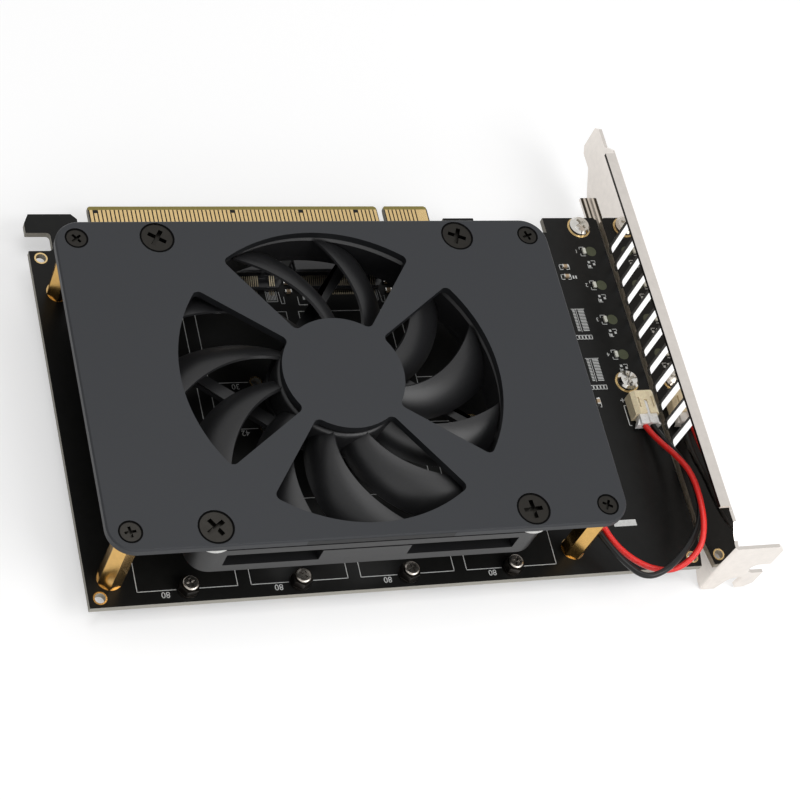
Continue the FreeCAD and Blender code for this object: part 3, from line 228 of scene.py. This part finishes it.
def blend(tree, factor, low, high):
    # the first colour where the factor is 0, the second where it is 1
    return addNode(tree, "ShaderNodeMix", {"Factor": factor, "A": low, "B": high},
                   data_type="RGBA").outputs["Result"]


def facing(tree):
    normal = addNode(tree, "ShaderNodeNewGeometry").outputs["True Normal"]
    return addNode(tree, "ShaderNodeSeparateXYZ", {0: normal}).outputs


def placeOn(tree):
    # X, Y and Z in the card's own metres
    place = addNode(tree, "ShaderNodeTexCoord").outputs["Object"]
    return addNode(tree, "ShaderNodeSeparateXYZ", {0: place}).outputs


def shaded(colour, *shares):
    # the colour made darker or lighter by each share
    return [tuple(min(1, c * share) for c in colour) for share in shares]


def roughen(tree, shader, factor, rough, spread):
    tree.links.new(span(tree, factor, *(rough * share for share in spread)), shader.inputs["Roughness"])


def relief(tree, shader, height, strength, distance):
    bump = addNode(tree, "ShaderNodeBump",
                   {"Height": height, "Strength": strength, "Distance": distance * mm})
    tree.links.new(bump.outputs[0], shader.inputs["Normal"])


def plainFinish(name, colour, rough, vary=0.12, scale=2.0, fine=30.0, bump=0.1, depth=0.02, **values):
    # colour and roughness drift slightly, over a fine surface grain
    finish, tree, shader = startFinish(name, **values)
    drift = tint(tree, grain(tree, scale), *shaded(colour, 1 - vary, 1 + vary))
    tree.links.new(drift, shader.inputs["Base Color"])
    roughen(tree, shader, grain(tree, fine), rough, spreads["plain"])
    relief(tree, shader, grain(tree, fine), bump, depth)
    return finish


coverFinish = {
    "colour": (0.036, 0.038, 0.042), "vary": (0.86, 1.14), "rough": 0.46, "drift": (0.93, 1.07),
    "grainScale": 14.0, "grainStrength": 0.16,
    "wall": 0.30, "steep": 0.6, "fan": (-28.6, -59.3), "reach": 43.5,    # painted shade: steep faces near the fan are darkened
}


def makeCoverFinish():
    finish, tree, shader = startFinish("coverAnodisedPaintedShade", **{"Specular IOR Level": 0.22})
    blasted = grain(tree, coverFinish["grainScale"], 6.0, 0.7)
    colour = coverFinish["colour"]
    face = tint(tree, blasted, *shaded(colour, *coverFinish["vary"]))
    steep = calc(tree, "LESS_THAN", facing(tree)["Z"], coverFinish["steep"])
    place = addNode(tree, "ShaderNodeTexCoord").outputs["Object"]
    flat = addNode(tree, "ShaderNodeVectorMath", {0: place, 1: (1, 1, 0)}, operation="MULTIPLY").outputs[0]
    hub = (*(c * mm for c in coverFinish["fan"]), 0)
    away = addNode(tree, "ShaderNodeVectorMath", {0: flat, 1: hub}, operation="DISTANCE").outputs["Value"]
    near = calc(tree, "LESS_THAN", away, coverFinish["reach"] * mm)
    # painted shade: the window walls near the fan get a darker copy of the plate's colour, standing in for
    # unlit walls
    dark = tuple(c * coverFinish["wall"] for c in colour)
    shadedWalls = blend(tree, calc(tree, "MULTIPLY", steep, near), face, (*dark, 1))
    tree.links.new(shadedWalls, shader.inputs["Base Color"])
    roughen(tree, shader, grain(tree, 0.06, 2.0), coverFinish["rough"], coverFinish["drift"])
    relief(tree, shader, blasted, coverFinish["grainStrength"], 0.02)
    return finish


boardFinish = {
    "mask": (0.0095, 0.0095, 0.0090), "maskVary": (0.9, 1.15), "rough": 0.30, "edgeRough": 0.7,
    "edge": (0.46, 0.44, 0.39), "edgeVary": (0.82, 1.12), "bevel": (0.30, 0.25, 0.08),
    "layers": 26000.0,                           # radians a metre, the glass layers' stripes
    "faceOver": 0.99, "edgeUnder": 0.30,         # how upright the normal is on the faces and on the edges
}


def makeBoardFinish():
    # black solder mask on the faces, bare glass-epoxy on the sawn edges
    finish, tree, shader = startFinish("boardMask", **{"Specular IOR Level": 0.16})
    upright = calc(tree, "ABSOLUTE", facing(tree)["Z"])
    stripe = calc(tree, "SINE", calc(tree, "MULTIPLY", placeOn(tree)["Z"], boardFinish["layers"]))
    fibre = calc(tree, "MULTIPLY", stripe, grain(tree, 1.2, 3.0))
    sawn = tint(tree, fibre, *shaded(boardFinish["edge"], *boardFinish["edgeVary"]), 0.0, 0.5)
    mask = tint(tree, grain(tree, 0.5, 3.0), *shaded(boardFinish["mask"], *boardFinish["maskVary"]))
    isFace = calc(tree, "GREATER_THAN", upright, boardFinish["faceOver"])
    isEdge = calc(tree, "LESS_THAN", upright, boardFinish["edgeUnder"])
    sloped = blend(tree, isEdge, (*boardFinish["bevel"], 1), sawn)
    tree.links.new(blend(tree, isFace, sloped, mask), shader.inputs["Base Color"])
    rough = span(tree, isFace, boardFinish["edgeRough"], boardFinish["rough"])
    tree.links.new(rough, shader.inputs["Roughness"])
    relief(tree, shader, grain(tree, 1.6, 2.0, 0.4), 0.05, 0.03)
    return finish


bracketFinish = {
    "plate": (0.80, 0.75, 0.70), "vary": (0.97, 1.03), "rough": 0.05,
    "cut": (0.030, 0.027, 0.023),                # the sheared walls of the vents
    "cutX": 57.8, "cutY": (-92.0, -5.0), "cutZ": (0.2, 14.4), "cutFacing": 0.4,
    "lipX": 56.4, "lipZ": 14.5, "lipFacing": -0.7,
    # painted reflection along the lower bend: dark bands for the mirrored black board, light bands for
    # painted highlight lines
    "foldReflection": (0.045, 0.038, 0.028), "foldHighlight": (0.78, 0.73, 0.66),
    "foldX": (56.6, 58.2), "foldZ": -0.6, "foldFacing": 0.2,
    "foldReflectionSteps": ((0.15, "foldHighlight"), (0.40, "foldHighlight"), (0.52, "foldReflection"), (0.72, "foldReflection"), (0.85, "foldHighlight")),
    "grooveX": 58.4, "grooveZ": 0.3,
    "cutDull": 0.5, "grooveDull": 0.3,           # added to the roughness
}


def makeBracketFinish():
    # plated sheet, with dull sheared walls in the vents, and painted reflection along the lower bend: dark
    # bands standing in for the mirrored black board, with light lines of painted highlight
    look = bracketFinish
    finish, tree, shader = startFinish("bracketNickelPaintedReflection", Metallic=1.0)
    plate = tint(tree, grain(tree, 0.5, 3.0), *shaded(look["plate"], *look["vary"]))
    normal, at = facing(tree), placeOn(tree)

    def over(value, limit):
        return calc(tree, "GREATER_THAN", value, limit)

    def under(value, limit):
        return calc(tree, "LESS_THAN", value, limit)

    def where(*tests):
        total = tests[0]
        for test in tests[1:]:
            total = calc(tree, "MULTIPLY", total, test)
        return total

    low, high = look["cutZ"]
    back, front = look["cutY"]
    sideways = calc(tree, "ABSOLUTE", normal["X"])
    vent = where(under(sideways, look["cutFacing"]), over(at["X"], look["cutX"] * mm),
                 over(at["Y"], back * mm), under(at["Y"], front * mm),
                 over(at["Z"], low * mm), under(at["Z"], high * mm))
    lip = where(under(normal["X"], look["lipFacing"]), under(at["X"], look["lipX"] * mm),
                over(at["Z"], look["lipZ"] * mm))
    cut = calc(tree, "MAXIMUM", vent, lip)
    # painted reflection: upward faces below the board take the dark and light bands across the bend
    foldReflection = where(under(at["Z"], look["foldZ"] * mm), over(normal["Z"], look["foldFacing"]))
    groove = where(under(at["Z"], look["grooveZ"] * mm), under(at["X"], look["grooveX"] * mm))
    across = span(tree, at["X"], 0.0, 1.0, *(x * mm for x in look["foldX"]))
    reflectionBands = addNode(tree, "ShaderNodeValToRGB", {"Fac": across})
    stops = reflectionBands.color_ramp.elements
    stops[0].color = (*look["foldReflection"], 1)
    stops[1].color = (*look["foldHighlight"], 1)
    for share, colour in look["foldReflectionSteps"]:
        stops.new(share).color = (*look[colour], 1)
    sheet = blend(tree, cut, plate, (*look["cut"], 1))
    tree.links.new(blend(tree, foldReflection, sheet, reflectionBands.outputs["Color"]), shader.inputs["Base Color"])
    fine = grain(tree, 6.0, 4.0, 0.6, (1, 0.08, 1))
    polish = span(tree, fine, *(look["rough"] * share for share in spreads["metal"]))
    for spot, dull in ((cut, look["cutDull"]), (groove, look["grooveDull"])):
        polish = calc(tree, "ADD", polish, calc(tree, "MULTIPLY", spot, dull))
    tree.links.new(polish, shader.inputs["Roughness"])
    relief(tree, shader, fine, 0.02, 0.01)
    return finish


def makeMetal(name, colour, rough, scratch=0.05, stretch=(1, 1, 1), vary=0.06):
    finish, tree, shader = startFinish(name, Metallic=1.0)
    drift = tint(tree, grain(tree, 0.8, 3.0), *shaded(colour, 1 - vary, 1 + vary))
    tree.links.new(drift, shader.inputs["Base Color"])
    fine = grain(tree, 6.0, 4.0, 0.6, stretch)
    roughen(tree, shader, fine, rough, spreads["metal"])
    relief(tree, shader, fine, scratch, 0.01)
    return finish


# painted light on the module screws: a lit top and a dark side
postScrewFinish = {
    "top": (0.52, 0.48, 0.43), "vary": (0.85, 1), "side": (0.040, 0.036, 0.032), "rough": 0.28,
    "flatOver": 0.75,                            # how upright the normal is on the top
}


def makePostScrewFinish():
    # painted light: bright on top, and painted dark round the side for shade and the black board it mirrors
    finish, tree, shader = startFinish("postScrewNickelPaintedLight", Metallic=1.0)
    flat = calc(tree, "GREATER_THAN", facing(tree)["Z"], postScrewFinish["flatOver"])
    paintedLitTop = tint(tree, grain(tree, 1.5, 3.0), *shaded(postScrewFinish["top"], *postScrewFinish["vary"]))
    tree.links.new(blend(tree, flat, (*postScrewFinish["side"], 1), paintedLitTop), shader.inputs["Base Color"])
    fine = grain(tree, 6.0)
    roughen(tree, shader, fine, postScrewFinish["rough"], spreads["postScrew"])
    relief(tree, shader, fine, 0.1, 0.01)
    return finish


finishes = {
    "circuit_board": makeBoardFinish(),
    "cover_plate": makeCoverFinish(),
    "gold": makeMetal("goldPlating", (0.74, 0.54, 0.26), 0.26),
    "brass": makeMetal("drawnBrass", (0.66, 0.40, 0.12), 0.20, 0.12, (1, 1, 0.05)),
    "nickel": makeMetal("brightNickel", (0.72, 0.70, 0.66), 0.11, 0.03),
    "bracket": makeBracketFinish(),
    "oxide": makeMetal("blackOxideSteel", (0.032, 0.030, 0.027), 0.34, 0.2),
    # painted reflection: the posts' nickel is made dark, standing in for the black board it mirrors
    "post": makeMetal("postPaintedDarkReflection", (0.034, 0.030, 0.026), 0.36, 0.1),
    "contact": makeMetal("socketContact", (0.36, 0.31, 0.22), 0.34),
    "postScrew": makePostScrewFinish(),
    # painted shade for the gaps round the screw heads
    "gap": plainFinish("countersinkGapShade", (0.003, 0.003, 0.003), 0.8, bump=0.0,
                       **{"Specular IOR Level": 0.03}),
    "tin": makeMetal("brightTin", (0.72, 0.71, 0.68), 0.24),
    "steel": makeMetal("motorSteel", (0.45, 0.45, 0.46), 0.35),
    "copper": makeMetal("enamelledCopper", (0.70, 0.30, 0.13), 0.30),
    "fan": plainFinish("fanPlastic", (0.010, 0.010, 0.0108), 0.38, bump=0.22, fine=12.0,
                       **{"Specular IOR Level": 0.45}),
    "socket": plainFinish("socketPlastic", (0.022, 0.022, 0.024), 0.24),
    "washer": plainFinish("washerNylon", (0.70, 0.70, 0.68), 0.42),
    "magnet": plainFinish("ferrite", (0.06, 0.055, 0.05), 0.6),
    "fanBoard": plainFinish("fanBoardMask", (0.02, 0.11, 0.05), 0.3),
    "header": plainFinish("beigeNylon", (0.98, 0.80, 0.54), 0.38),
    "plug": plainFinish("whiteNylon", (0.88, 0.87, 0.85), 0.34),
    "redWire": plainFinish("redInsulation", (0.80, 0.020, 0.015), 0.34, bump=0.06),
    "blackWire": plainFinish("blackInsulation", (0.009, 0.009, 0.009), 0.30, bump=0.06,
                             **{"Specular IOR Level": 0.30}),
    "print": plainFinish("whitePrint", (0.62, 0.63, 0.62), 0.55, bump=0.0),
    "lamp": plainFinish("lampEpoxy", (0.74, 0.74, 0.66), 0.30),
    "ceramic": plainFinish("chipCeramic", (0.40, 0.29, 0.18), 0.50),
    "lightWindow": plainFinish("bareLightWindow", (0.060, 0.068, 0.032), 0.45),
}
print("finishes made:", len(finishes))


# the CAD nodes: smooth shading, softened edges, and a finish

shading = {
    "join": 2e-7,                            # m, corners closer than this are one
    "smoothUnder": 30, "softenOver": 35,     # degrees between faces
    "softenSteps": 2,
}


def makeShadeByAngle():
    # joins split corners, then shades smooth over the flatter edges
    group = bpy.data.node_groups.new("shadeByAngle", "GeometryNodeTree")
    group.interface.new_socket("Geometry", in_out="INPUT", socket_type="NodeSocketGeometry")
    group.interface.new_socket("Geometry", in_out="OUTPUT", socket_type="NodeSocketGeometry")
    start = addNode(group, "NodeGroupInput").outputs[0]
    merged = addNode(group, "GeometryNodeMergeByDistance",
                     {"Geometry": start, "Distance": shading["join"]}).outputs[0]
    plain = addNode(group, "GeometryNodeRemoveAttribute",
                    {"Geometry": merged, "Name": "custom_normal"}).outputs[0]
    angle = addNode(group, "GeometryNodeInputMeshEdgeAngle").outputs["Unsigned Angle"]
    sharp = addNode(group, "FunctionNodeCompare", {"A": angle, "B": math.radians(shading["smoothUnder"])},
                    data_type="FLOAT", operation="GREATER_THAN").outputs[0]
    marked = addNode(group, "GeometryNodeStoreNamedAttribute",
                     {"Geometry": plain, "Name": "sharp_edge", "Value": sharp},
                     data_type="BOOLEAN", domain="EDGE").outputs[0]
    smooth = addNode(group, "GeometryNodeSetShadeSmooth",
                     {"Geometry": marked, "Shade Smooth": True}).outputs[0]
    addNode(group, "NodeGroupOutput", {0: smooth})
    return group


shadeByAngle = makeShadeByAngle()


def dress(name, finish, soften):
    # gives a CAD node its finish, smooth shading and, where asked, softened edges
    piece = nodes[name]
    piece.data.materials.clear()
    piece.data.materials.append(finishes[finish])
    shade = piece.modifiers.new("shade", "NODES")
    shade.node_group = shadeByAngle
    if soften:
        edge = piece.modifiers.new("edge", "BEVEL")
        edge.width = soften * mm
        edge.segments = shading["softenSteps"]
        edge.limit_method = "ANGLE"
        edge.angle_limit = math.radians(shading["softenOver"])
        edge.harden_normals = True


dressing = {                                 # finish, and how far the edges are softened in mm
    "circuit_board": ("circuit_board", 0.0), "cover_plate": ("cover_plate", 0.12),
    "edge_fingers_component_side": ("gold", 0.0), "edge_fingers_solder_side": ("gold", 0.0),
    "hole_rings_component_side": ("gold", 0.0), "hole_rings_solder_side": ("gold", 0.0),
    "module_posts": ("post", 0.05), "module_screws": ("postScrew", 0.05), "cover_pillars": ("brass", 0.12),
    "pillar_screws": ("nickel", 0.08), "cover_screws": ("oxide", 0.06), "fan_screws": ("oxide", 0.08),
    "fan_washers": ("washer", 0.08), "bracket_screws": ("nickel", 0.08), "fan_frame": ("fan", 0.15),
    "fan_impeller": ("fan", 0.0), "rotor_yoke": ("steel", 0.0), "magnet_ring": ("magnet", 0.0),
    "fan_shaft": ("steel", 0.0), "shaft_clip": ("washer", 0.0), "sleeve_bearing": ("brass", 0.0),
    "stator_core": ("steel", 0.0), "stator_windings": ("copper", 0.0), "fan_circuit_board": ("fanBoard", 0.0),
    "slot_bracket": ("bracket", 0.10), "header_housing": ("header", 0.08), "header_pins": ("tin", 0.0),
    "plug_housing": ("plug", 0.08), "crimp_contacts": ("tin", 0.0), "status_leds": ("lamp", 0.0),
    "chip_capacitors": ("ceramic", 0.0), "chip_terminals": ("tin", 0.0),
}
for bay in range(1, 5):
    dressing["module_socket_%d" % bay] = ("socket", 0.08)
    dressing["socket_contacts_%d" % bay] = ("contact", 0.0)
for name, (finish, soften) in dressing.items():
    dress(name, finish, soften)
print("CAD nodes dressed:", len(dressing))


# the fan lead: two wires from the fan to the plug

lead = {
    "thick": 1.4,                            # mm across the insulation
    "red": ((8.8, -84.7, 13.7), (15.6, -84.7, 13.7), (22.4, -86.5, 11.0), (29.4, -90.5, 8.2),
            (32.4, -97.2, 6.4), (38.1, -102.9, 5.8), (45.7, -105.1, 5.8), (51.7, -102.0, 9.2),
            (53.7, -97.1, 11.2), (54.5, -90.3, 12.0), (55.1, -82.6, 10.8), (54.4, -76.2, 7.8),
            (52.5, -68.6, 3.8), (51.9, -65.2, 2.8)),
    "black": ((8.8, -86.7, 13.7), (15.6, -86.7, 13.7), (22.8, -88.7, 10.6), (28.3, -92.7, 7.2),
              (30.6, -97.3, 7.0), (33.2, -102.5, 7.4), (36.8, -107.0, 8.0), (42.4, -105.9, 8.8),
              (49.0, -100.9, 8.8), (54.1, -95.4, 8.2), (56.1, -89.6, 8.8), (56.5, -82.0, 8.2),
              (56.4, -75.2, 5.8), (54.8, -68.6, 3.4), (53.9, -65.2, 2.8)),
    "smooth": 8, "round": 5,                 # steps between points, and round a quarter
}


def makeWire(name, route, finish, node):
    data = bpy.data.curves.new(name, "CURVE")
    data.dimensions = "3D"
    line = data.splines.new("NURBS")
    line.points.add(len(route) - 1)
    for point, place in zip(line.points, route):
        point.co = (*(Vector(place) * mm), 1)
    line.order_u = 3
    line.use_endpoint_u = True
    line.resolution_u = lead["smooth"]
    data.bevel_depth = lead["thick"] / 2 * mm
    data.bevel_resolution = lead["round"]
    data.use_fill_caps = True
    wire = bpy.data.objects.new(name, data)
    bpy.context.scene.collection.objects.link(wire)
    data.materials.append(finishes[finish])
    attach(wire, "card")
    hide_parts(node)


makeWire("redWire", lead["red"], "redWire", "red_wire")
makeWire("blackWire", lead["black"], "blackWire", "black_wire")
print("fan lead made")


# small forms of the fan and its cover: the solid middles of the frame's sides, and painted shade in the gaps
# round screw heads

smallForms = {
    "webFrom": -11.8, "webTo": 8.2, "webSteps": 8,       # mm along each side, from the fan's axis
    "ductRadius": 38.4, "flange": 2.6,
    "heads": (("cover_screws", 2.25), ("fan_screws", 3.55)),     # nodes, and the radius of their heads
    "gapUnder": 0.05, "gapWide": 0.32, "gapLift": 0.006, "gapSteps": 40,
}


def keepMesh(mesh, name, finish):
    data = bpy.data.meshes.new(name)
    mesh.to_mesh(data)
    mesh.free()
    piece = bpy.data.objects.new(name, data)
    bpy.context.scene.collection.objects.link(piece)
    data.materials.append(finishes[finish])
    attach(piece, "card")


def makeFrameWebs():
    low, high = (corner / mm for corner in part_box("fan_frame"))
    middle, front = (low + high) / 2, (high.x - low.x) / 2
    start, end, steps = smallForms["webFrom"], smallForms["webTo"], smallForms["webSteps"]
    along = [start + (end - start) * step / steps for step in range(steps + 1)]
    outline = [(start, -front), (end, -front)]
    outline += [(x, -math.sqrt(smallForms["ductRadius"] ** 2 - x * x)) for x in reversed(along)]
    mesh = bmesh.new()
    for quarter in range(4):
        turn = Matrix.Rotation(quarter * math.pi / 2, 3, "Z")
        rims = []
        for z in (low.z + smallForms["flange"], high.z - smallForms["flange"]):
            axis = Vector((middle.x, middle.y, z))
            rims.append([mesh.verts.new((turn @ Vector((x, y, 0)) + axis) * mm) for x, y in outline])
        joinRims(mesh, *rims)
        mesh.faces.new(list(reversed(rims[0])))
        mesh.faces.new(rims[1])
    keepMesh(mesh, "frameWebs", "fan")


def joinRims(mesh, first, second):
    for step, corner in enumerate(first):
        after = (step + 1) % len(first)
        mesh.faces.new((corner, first[after], second[after], second[step]))


def addRing(mesh, x, y, height, reaches):
    # a flat ring between two radii
    steps = smallForms["gapSteps"]
    turns = [2 * math.pi * step / steps for step in range(steps)]
    rims = [[mesh.verts.new(((x + reach * math.cos(t)) * mm, (y + reach * math.sin(t)) * mm, height))
             for t in turns] for reach in reaches]
    joinRims(mesh, *reversed(rims))


def makeScrewGaps():
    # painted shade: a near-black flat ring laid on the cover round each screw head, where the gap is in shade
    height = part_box("cover_plate")[1].z + smallForms["gapLift"] * mm
    mesh = bmesh.new()
    for node, radius in smallForms["heads"]:
        low, high = (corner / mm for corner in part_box(node))
        reaches = (radius - smallForms["gapUnder"], radius + smallForms["gapWide"])
        for x in (low.x + radius, high.x - radius):
            for y in (low.y + radius, high.y - radius):
                addRing(mesh, x, y, height, reaches)
    keepMesh(mesh, "screwGapShade", "gap")


makeFrameWebs()
makeScrewGaps()
print("frame webs and screw gaps made")


# what is printed on the board: outlines, pads and the bay numbers, and the lamps' light windows

printing = {
    "line": 0.16,                            # mm, the width of a printed line
    "lift": 0.015, "windowLift": 0.008,      # above the board
    "bays": (-66.0, -41.0, -16.0, 9.0),      # middle of each module
    "bayHalf": 11.0, "bayTop": -30.0, "bayEnd": -98.6,
    "rests": ((-48.6, "30"), (-60.6, "42"), (-78.6, "60"), (-98.6, "80")),
    "restGap": 1.9, "endGap": 2.6,           # lines stop short of the holes and of the post
    "bayNumber": (-5.0, -0.4, 2.0),          # beside each rest, and size
    "arrayPads": (7.4, -25.7, 0.36, 6), "arrayPad": (0.2, 2.3),      # first place, pitch and count; size
    "bayLines": (((7.0, -24.2), (9.6, -24.2), (9.6, -27.2), (7.0, -27.2), (7.0, -24.2)),
                 ((10.2, -24.6), (10.4, -27.8), (11.2, -27.8), (11.2, -26.0)),
                 ((-10.4, -26.0), (-10.4, -28.2), (-8.4, -28.2))),
    "bayPad": (-8.9, -26.3, 0.5, 1.0),
    "lamps": (-14.05, -24.08, -34.11, -44.14),
    "lampX": 51.2, "windowX": 53.2, "windowRadius": 1.4, "windowSteps": 32,
    "lampLines": (((-1.0, -0.7), (-1.0, -1.3), (0.2, -1.3)), ((-1.0, 0.7), (-1.0, 1.3), (0.2, 1.3)),
                  ((0.0, -3.9), (0.0, -4.9), (1.0, -4.9)), ((1.2, -2.8), (2.2, -2.8), (2.2, -3.3))),
    "lampPads": ((0.5, -3.2), (0.5, -4.4), (1.8, -3.8)), "lampPad": (0.6, 0.55),
    "lampNumber": (-2.0, 0.6, 1.5),          # beside each lamp, and size
    "combs": ((43.2, -31.2), (43.0, -45.3)), "combLine": 0.12,
    "combRows": 15, "combPitch": 0.42, "combPads": ((1.5, 2.9), (0.0, 0.5)), "combPad": 0.2,
    "combSpine": 0.9, "combTop": (-0.3, 3.2), "combOver": 0.3,
    "combFrames": (-0.8, -1.9, 0.9, 5), "combFrame": (0.7, 1.1, 0.17),
    "chips": ((44.6, -18.6, 2.6, 1.4), (44.3, -21.5, 2.6, 1.4), (42.5, -57.2, 1.6, 2.6)), "chipGap": 0.5,
    "pads": ((46.25, -21.6), (46.95, -21.6)), "pad": (0.4, 0.9),
    "marks": (                               # a blank block, the header's outline and its plus sign
        (((38.0, -89.45), (42.2, -89.45)), 1.6),
        (((49.6, -58.4), (49.1, -58.4), (49.1, -63.9), (49.6, -63.9)), 0.2),
        (((48.7, -56.9), (49.7, -56.9)), 0.18),
        (((49.2, -56.4), (49.2, -57.4)), 0.18),
    ),
}
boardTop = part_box("circuit_board")[1].z / mm


def addStrip(mesh, places, width):
    # a printed line through the places, with square ends
    height = (boardTop + printing["lift"]) * mm
    for (ax, ay), (bx, by) in zip(places, places[1:]):
        reach = Vector((bx - ax, by - ay)).normalized() * width / 2
        side = Vector((-reach.y, reach.x))
        corners = ((ax - reach.x + side.x, ay - reach.y + side.y),
                   (ax - reach.x - side.x, ay - reach.y - side.y),
                   (bx + reach.x - side.x, by + reach.y - side.y),
                   (bx + reach.x + side.x, by + reach.y + side.y))
        mesh.faces.new([mesh.verts.new((x * mm, y * mm, height)) for x, y in corners])


def addLines(mesh, lines, x, y):
    for line in lines:
        addStrip(mesh, [(x + dx, y + dy) for dx, dy in line], printing["line"])


def addBlock(mesh, x, y, wide, long):
    addStrip(mesh, ((x, y - long / 2 + wide / 2), (x, y + long / 2 - wide / 2)), wide)


def addFrame(mesh, x, y, wide, long, line):
    # a pad's outline, left hollow
    left, right, low, high = x - wide / 2, x + wide / 2, y - long / 2, y + long / 2
    addStrip(mesh, ((left, low), (right, low), (right, high), (left, high), (left, low)), line)


def addNumber(mesh, text, x, y, size):
    # numbers read with the edge connector downwards
    letters = bpy.data.curves.new("number", "FONT")
    letters.body = text
    letters.size = size * mm
    letters.align_x = "CENTER"
    letters.resolution_u = 3
    carrier = bpy.data.objects.new("number", letters)
    outline = bpy.data.meshes.new_from_object(carrier)
    place = Matrix.Translation((x * mm, y * mm, (boardTop + printing["lift"]) * mm))
    outline.transform(place @ Matrix.Rotation(math.pi, 4, "Z"))
    mesh.from_mesh(outline)
    bpy.data.objects.remove(carrier)
    bpy.data.curves.remove(letters)
    bpy.data.meshes.remove(outline)


def printBay(mesh, x):
    half, line = printing["bayHalf"], printing["line"]
    top, end = printing["bayTop"], printing["bayEnd"]
    for side in (-1, 1):
        addStrip(mesh, ((x + side * half, top), (x + side * half, end)), line)
        for y, _ in printing["rests"]:
            gap = printing["endGap" if y == end else "restGap"]
            addStrip(mesh, ((x + side * half, y), (x + side * gap, y)), line)
    addStrip(mesh, ((x - half, top), (x + half, top)), line)
    dx, y, pitch, count = printing["arrayPads"]
    for step in range(count):                    # a resistor array's pads, beside the socket's end
        addBlock(mesh, x + dx + pitch * step, y, *printing["arrayPad"])
    addLines(mesh, printing["bayLines"], x, 0)
    dx, y, wide, long = printing["bayPad"]
    addBlock(mesh, x + dx, y, wide, long)
    dx, dy, size = printing["bayNumber"]
    for y, number in printing["rests"]:
        addNumber(mesh, number, x + dx, y + dy, size)


def printLamp(mesh, y, number):
    x = printing["lampX"]
    addLines(mesh, printing["lampLines"], x, y)
    for dx, dy in printing["lampPads"]:
        addBlock(mesh, x + dx, y + dy, *printing["lampPad"])
    dx, dy, size = printing["lampNumber"]
    addNumber(mesh, number, x + dx, y + dy, size)


def printComb(mesh, x, y):
    # an unfitted chip: its outline, and a comb of fine pads on both sides
    rows, pitch, over = printing["combRows"], printing["combPitch"], printing["combOver"]
    for row in range(rows):
        for start, end in printing["combPads"]:
            addStrip(mesh, ((x + start, y - row * pitch), (x + end, y - row * pitch)), printing["combPad"])
    low, spine = y - (rows - 1) * pitch, x + printing["combSpine"]
    left, right = printing["combTop"]
    addStrip(mesh, ((spine, y + over), (spine, low - over)), printing["combLine"])
    addStrip(mesh, ((x + left, y + over), (x + right, y + over)), printing["combLine"])
    dx, dy, spacing, count = printing["combFrames"]
    for step in range(count):
        addFrame(mesh, x + dx + step * spacing, low + dy, *printing["combFrame"])


def printChip(mesh, x, y, wide, tall):
    # brackets at both ends of a fitted chip
    half, rise, gap = wide / 2, tall / 2, printing["chipGap"]
    for side in (-1, 1):
        start, end = side * gap, side * half
        addLines(mesh, [((start, rise), (end, rise), (end, -rise), (start, -rise))], x, y)


def makePrinting():
    mesh = bmesh.new()
    for x in printing["bays"]:
        printBay(mesh, x)
    for number, y in enumerate(printing["lamps"], start=1):
        printLamp(mesh, y, str(number))
    for x, y in printing["combs"]:
        printComb(mesh, x, y)
    for chip in printing["chips"]:
        printChip(mesh, *chip)
    for x, y in printing["pads"]:
        addBlock(mesh, x, y, *printing["pad"])
    for places, width in printing["marks"]:
        addStrip(mesh, places, width)
    keepMesh(mesh, "boardPrint", "print")


def makeLightWindows():
    mesh = bmesh.new()
    height = (boardTop + printing["windowLift"]) * mm
    for y in printing["lamps"]:
        middle = Matrix.Translation((printing["windowX"] * mm, y * mm, height))
        bmesh.ops.create_circle(mesh, cap_ends=True, segments=printing["windowSteps"],
                                radius=printing["windowRadius"] * mm, matrix=middle)
    keepMesh(mesh, "lightWindows", "lightWindow")


makePrinting()
makeLightWindows()
print("board print and light windows made")
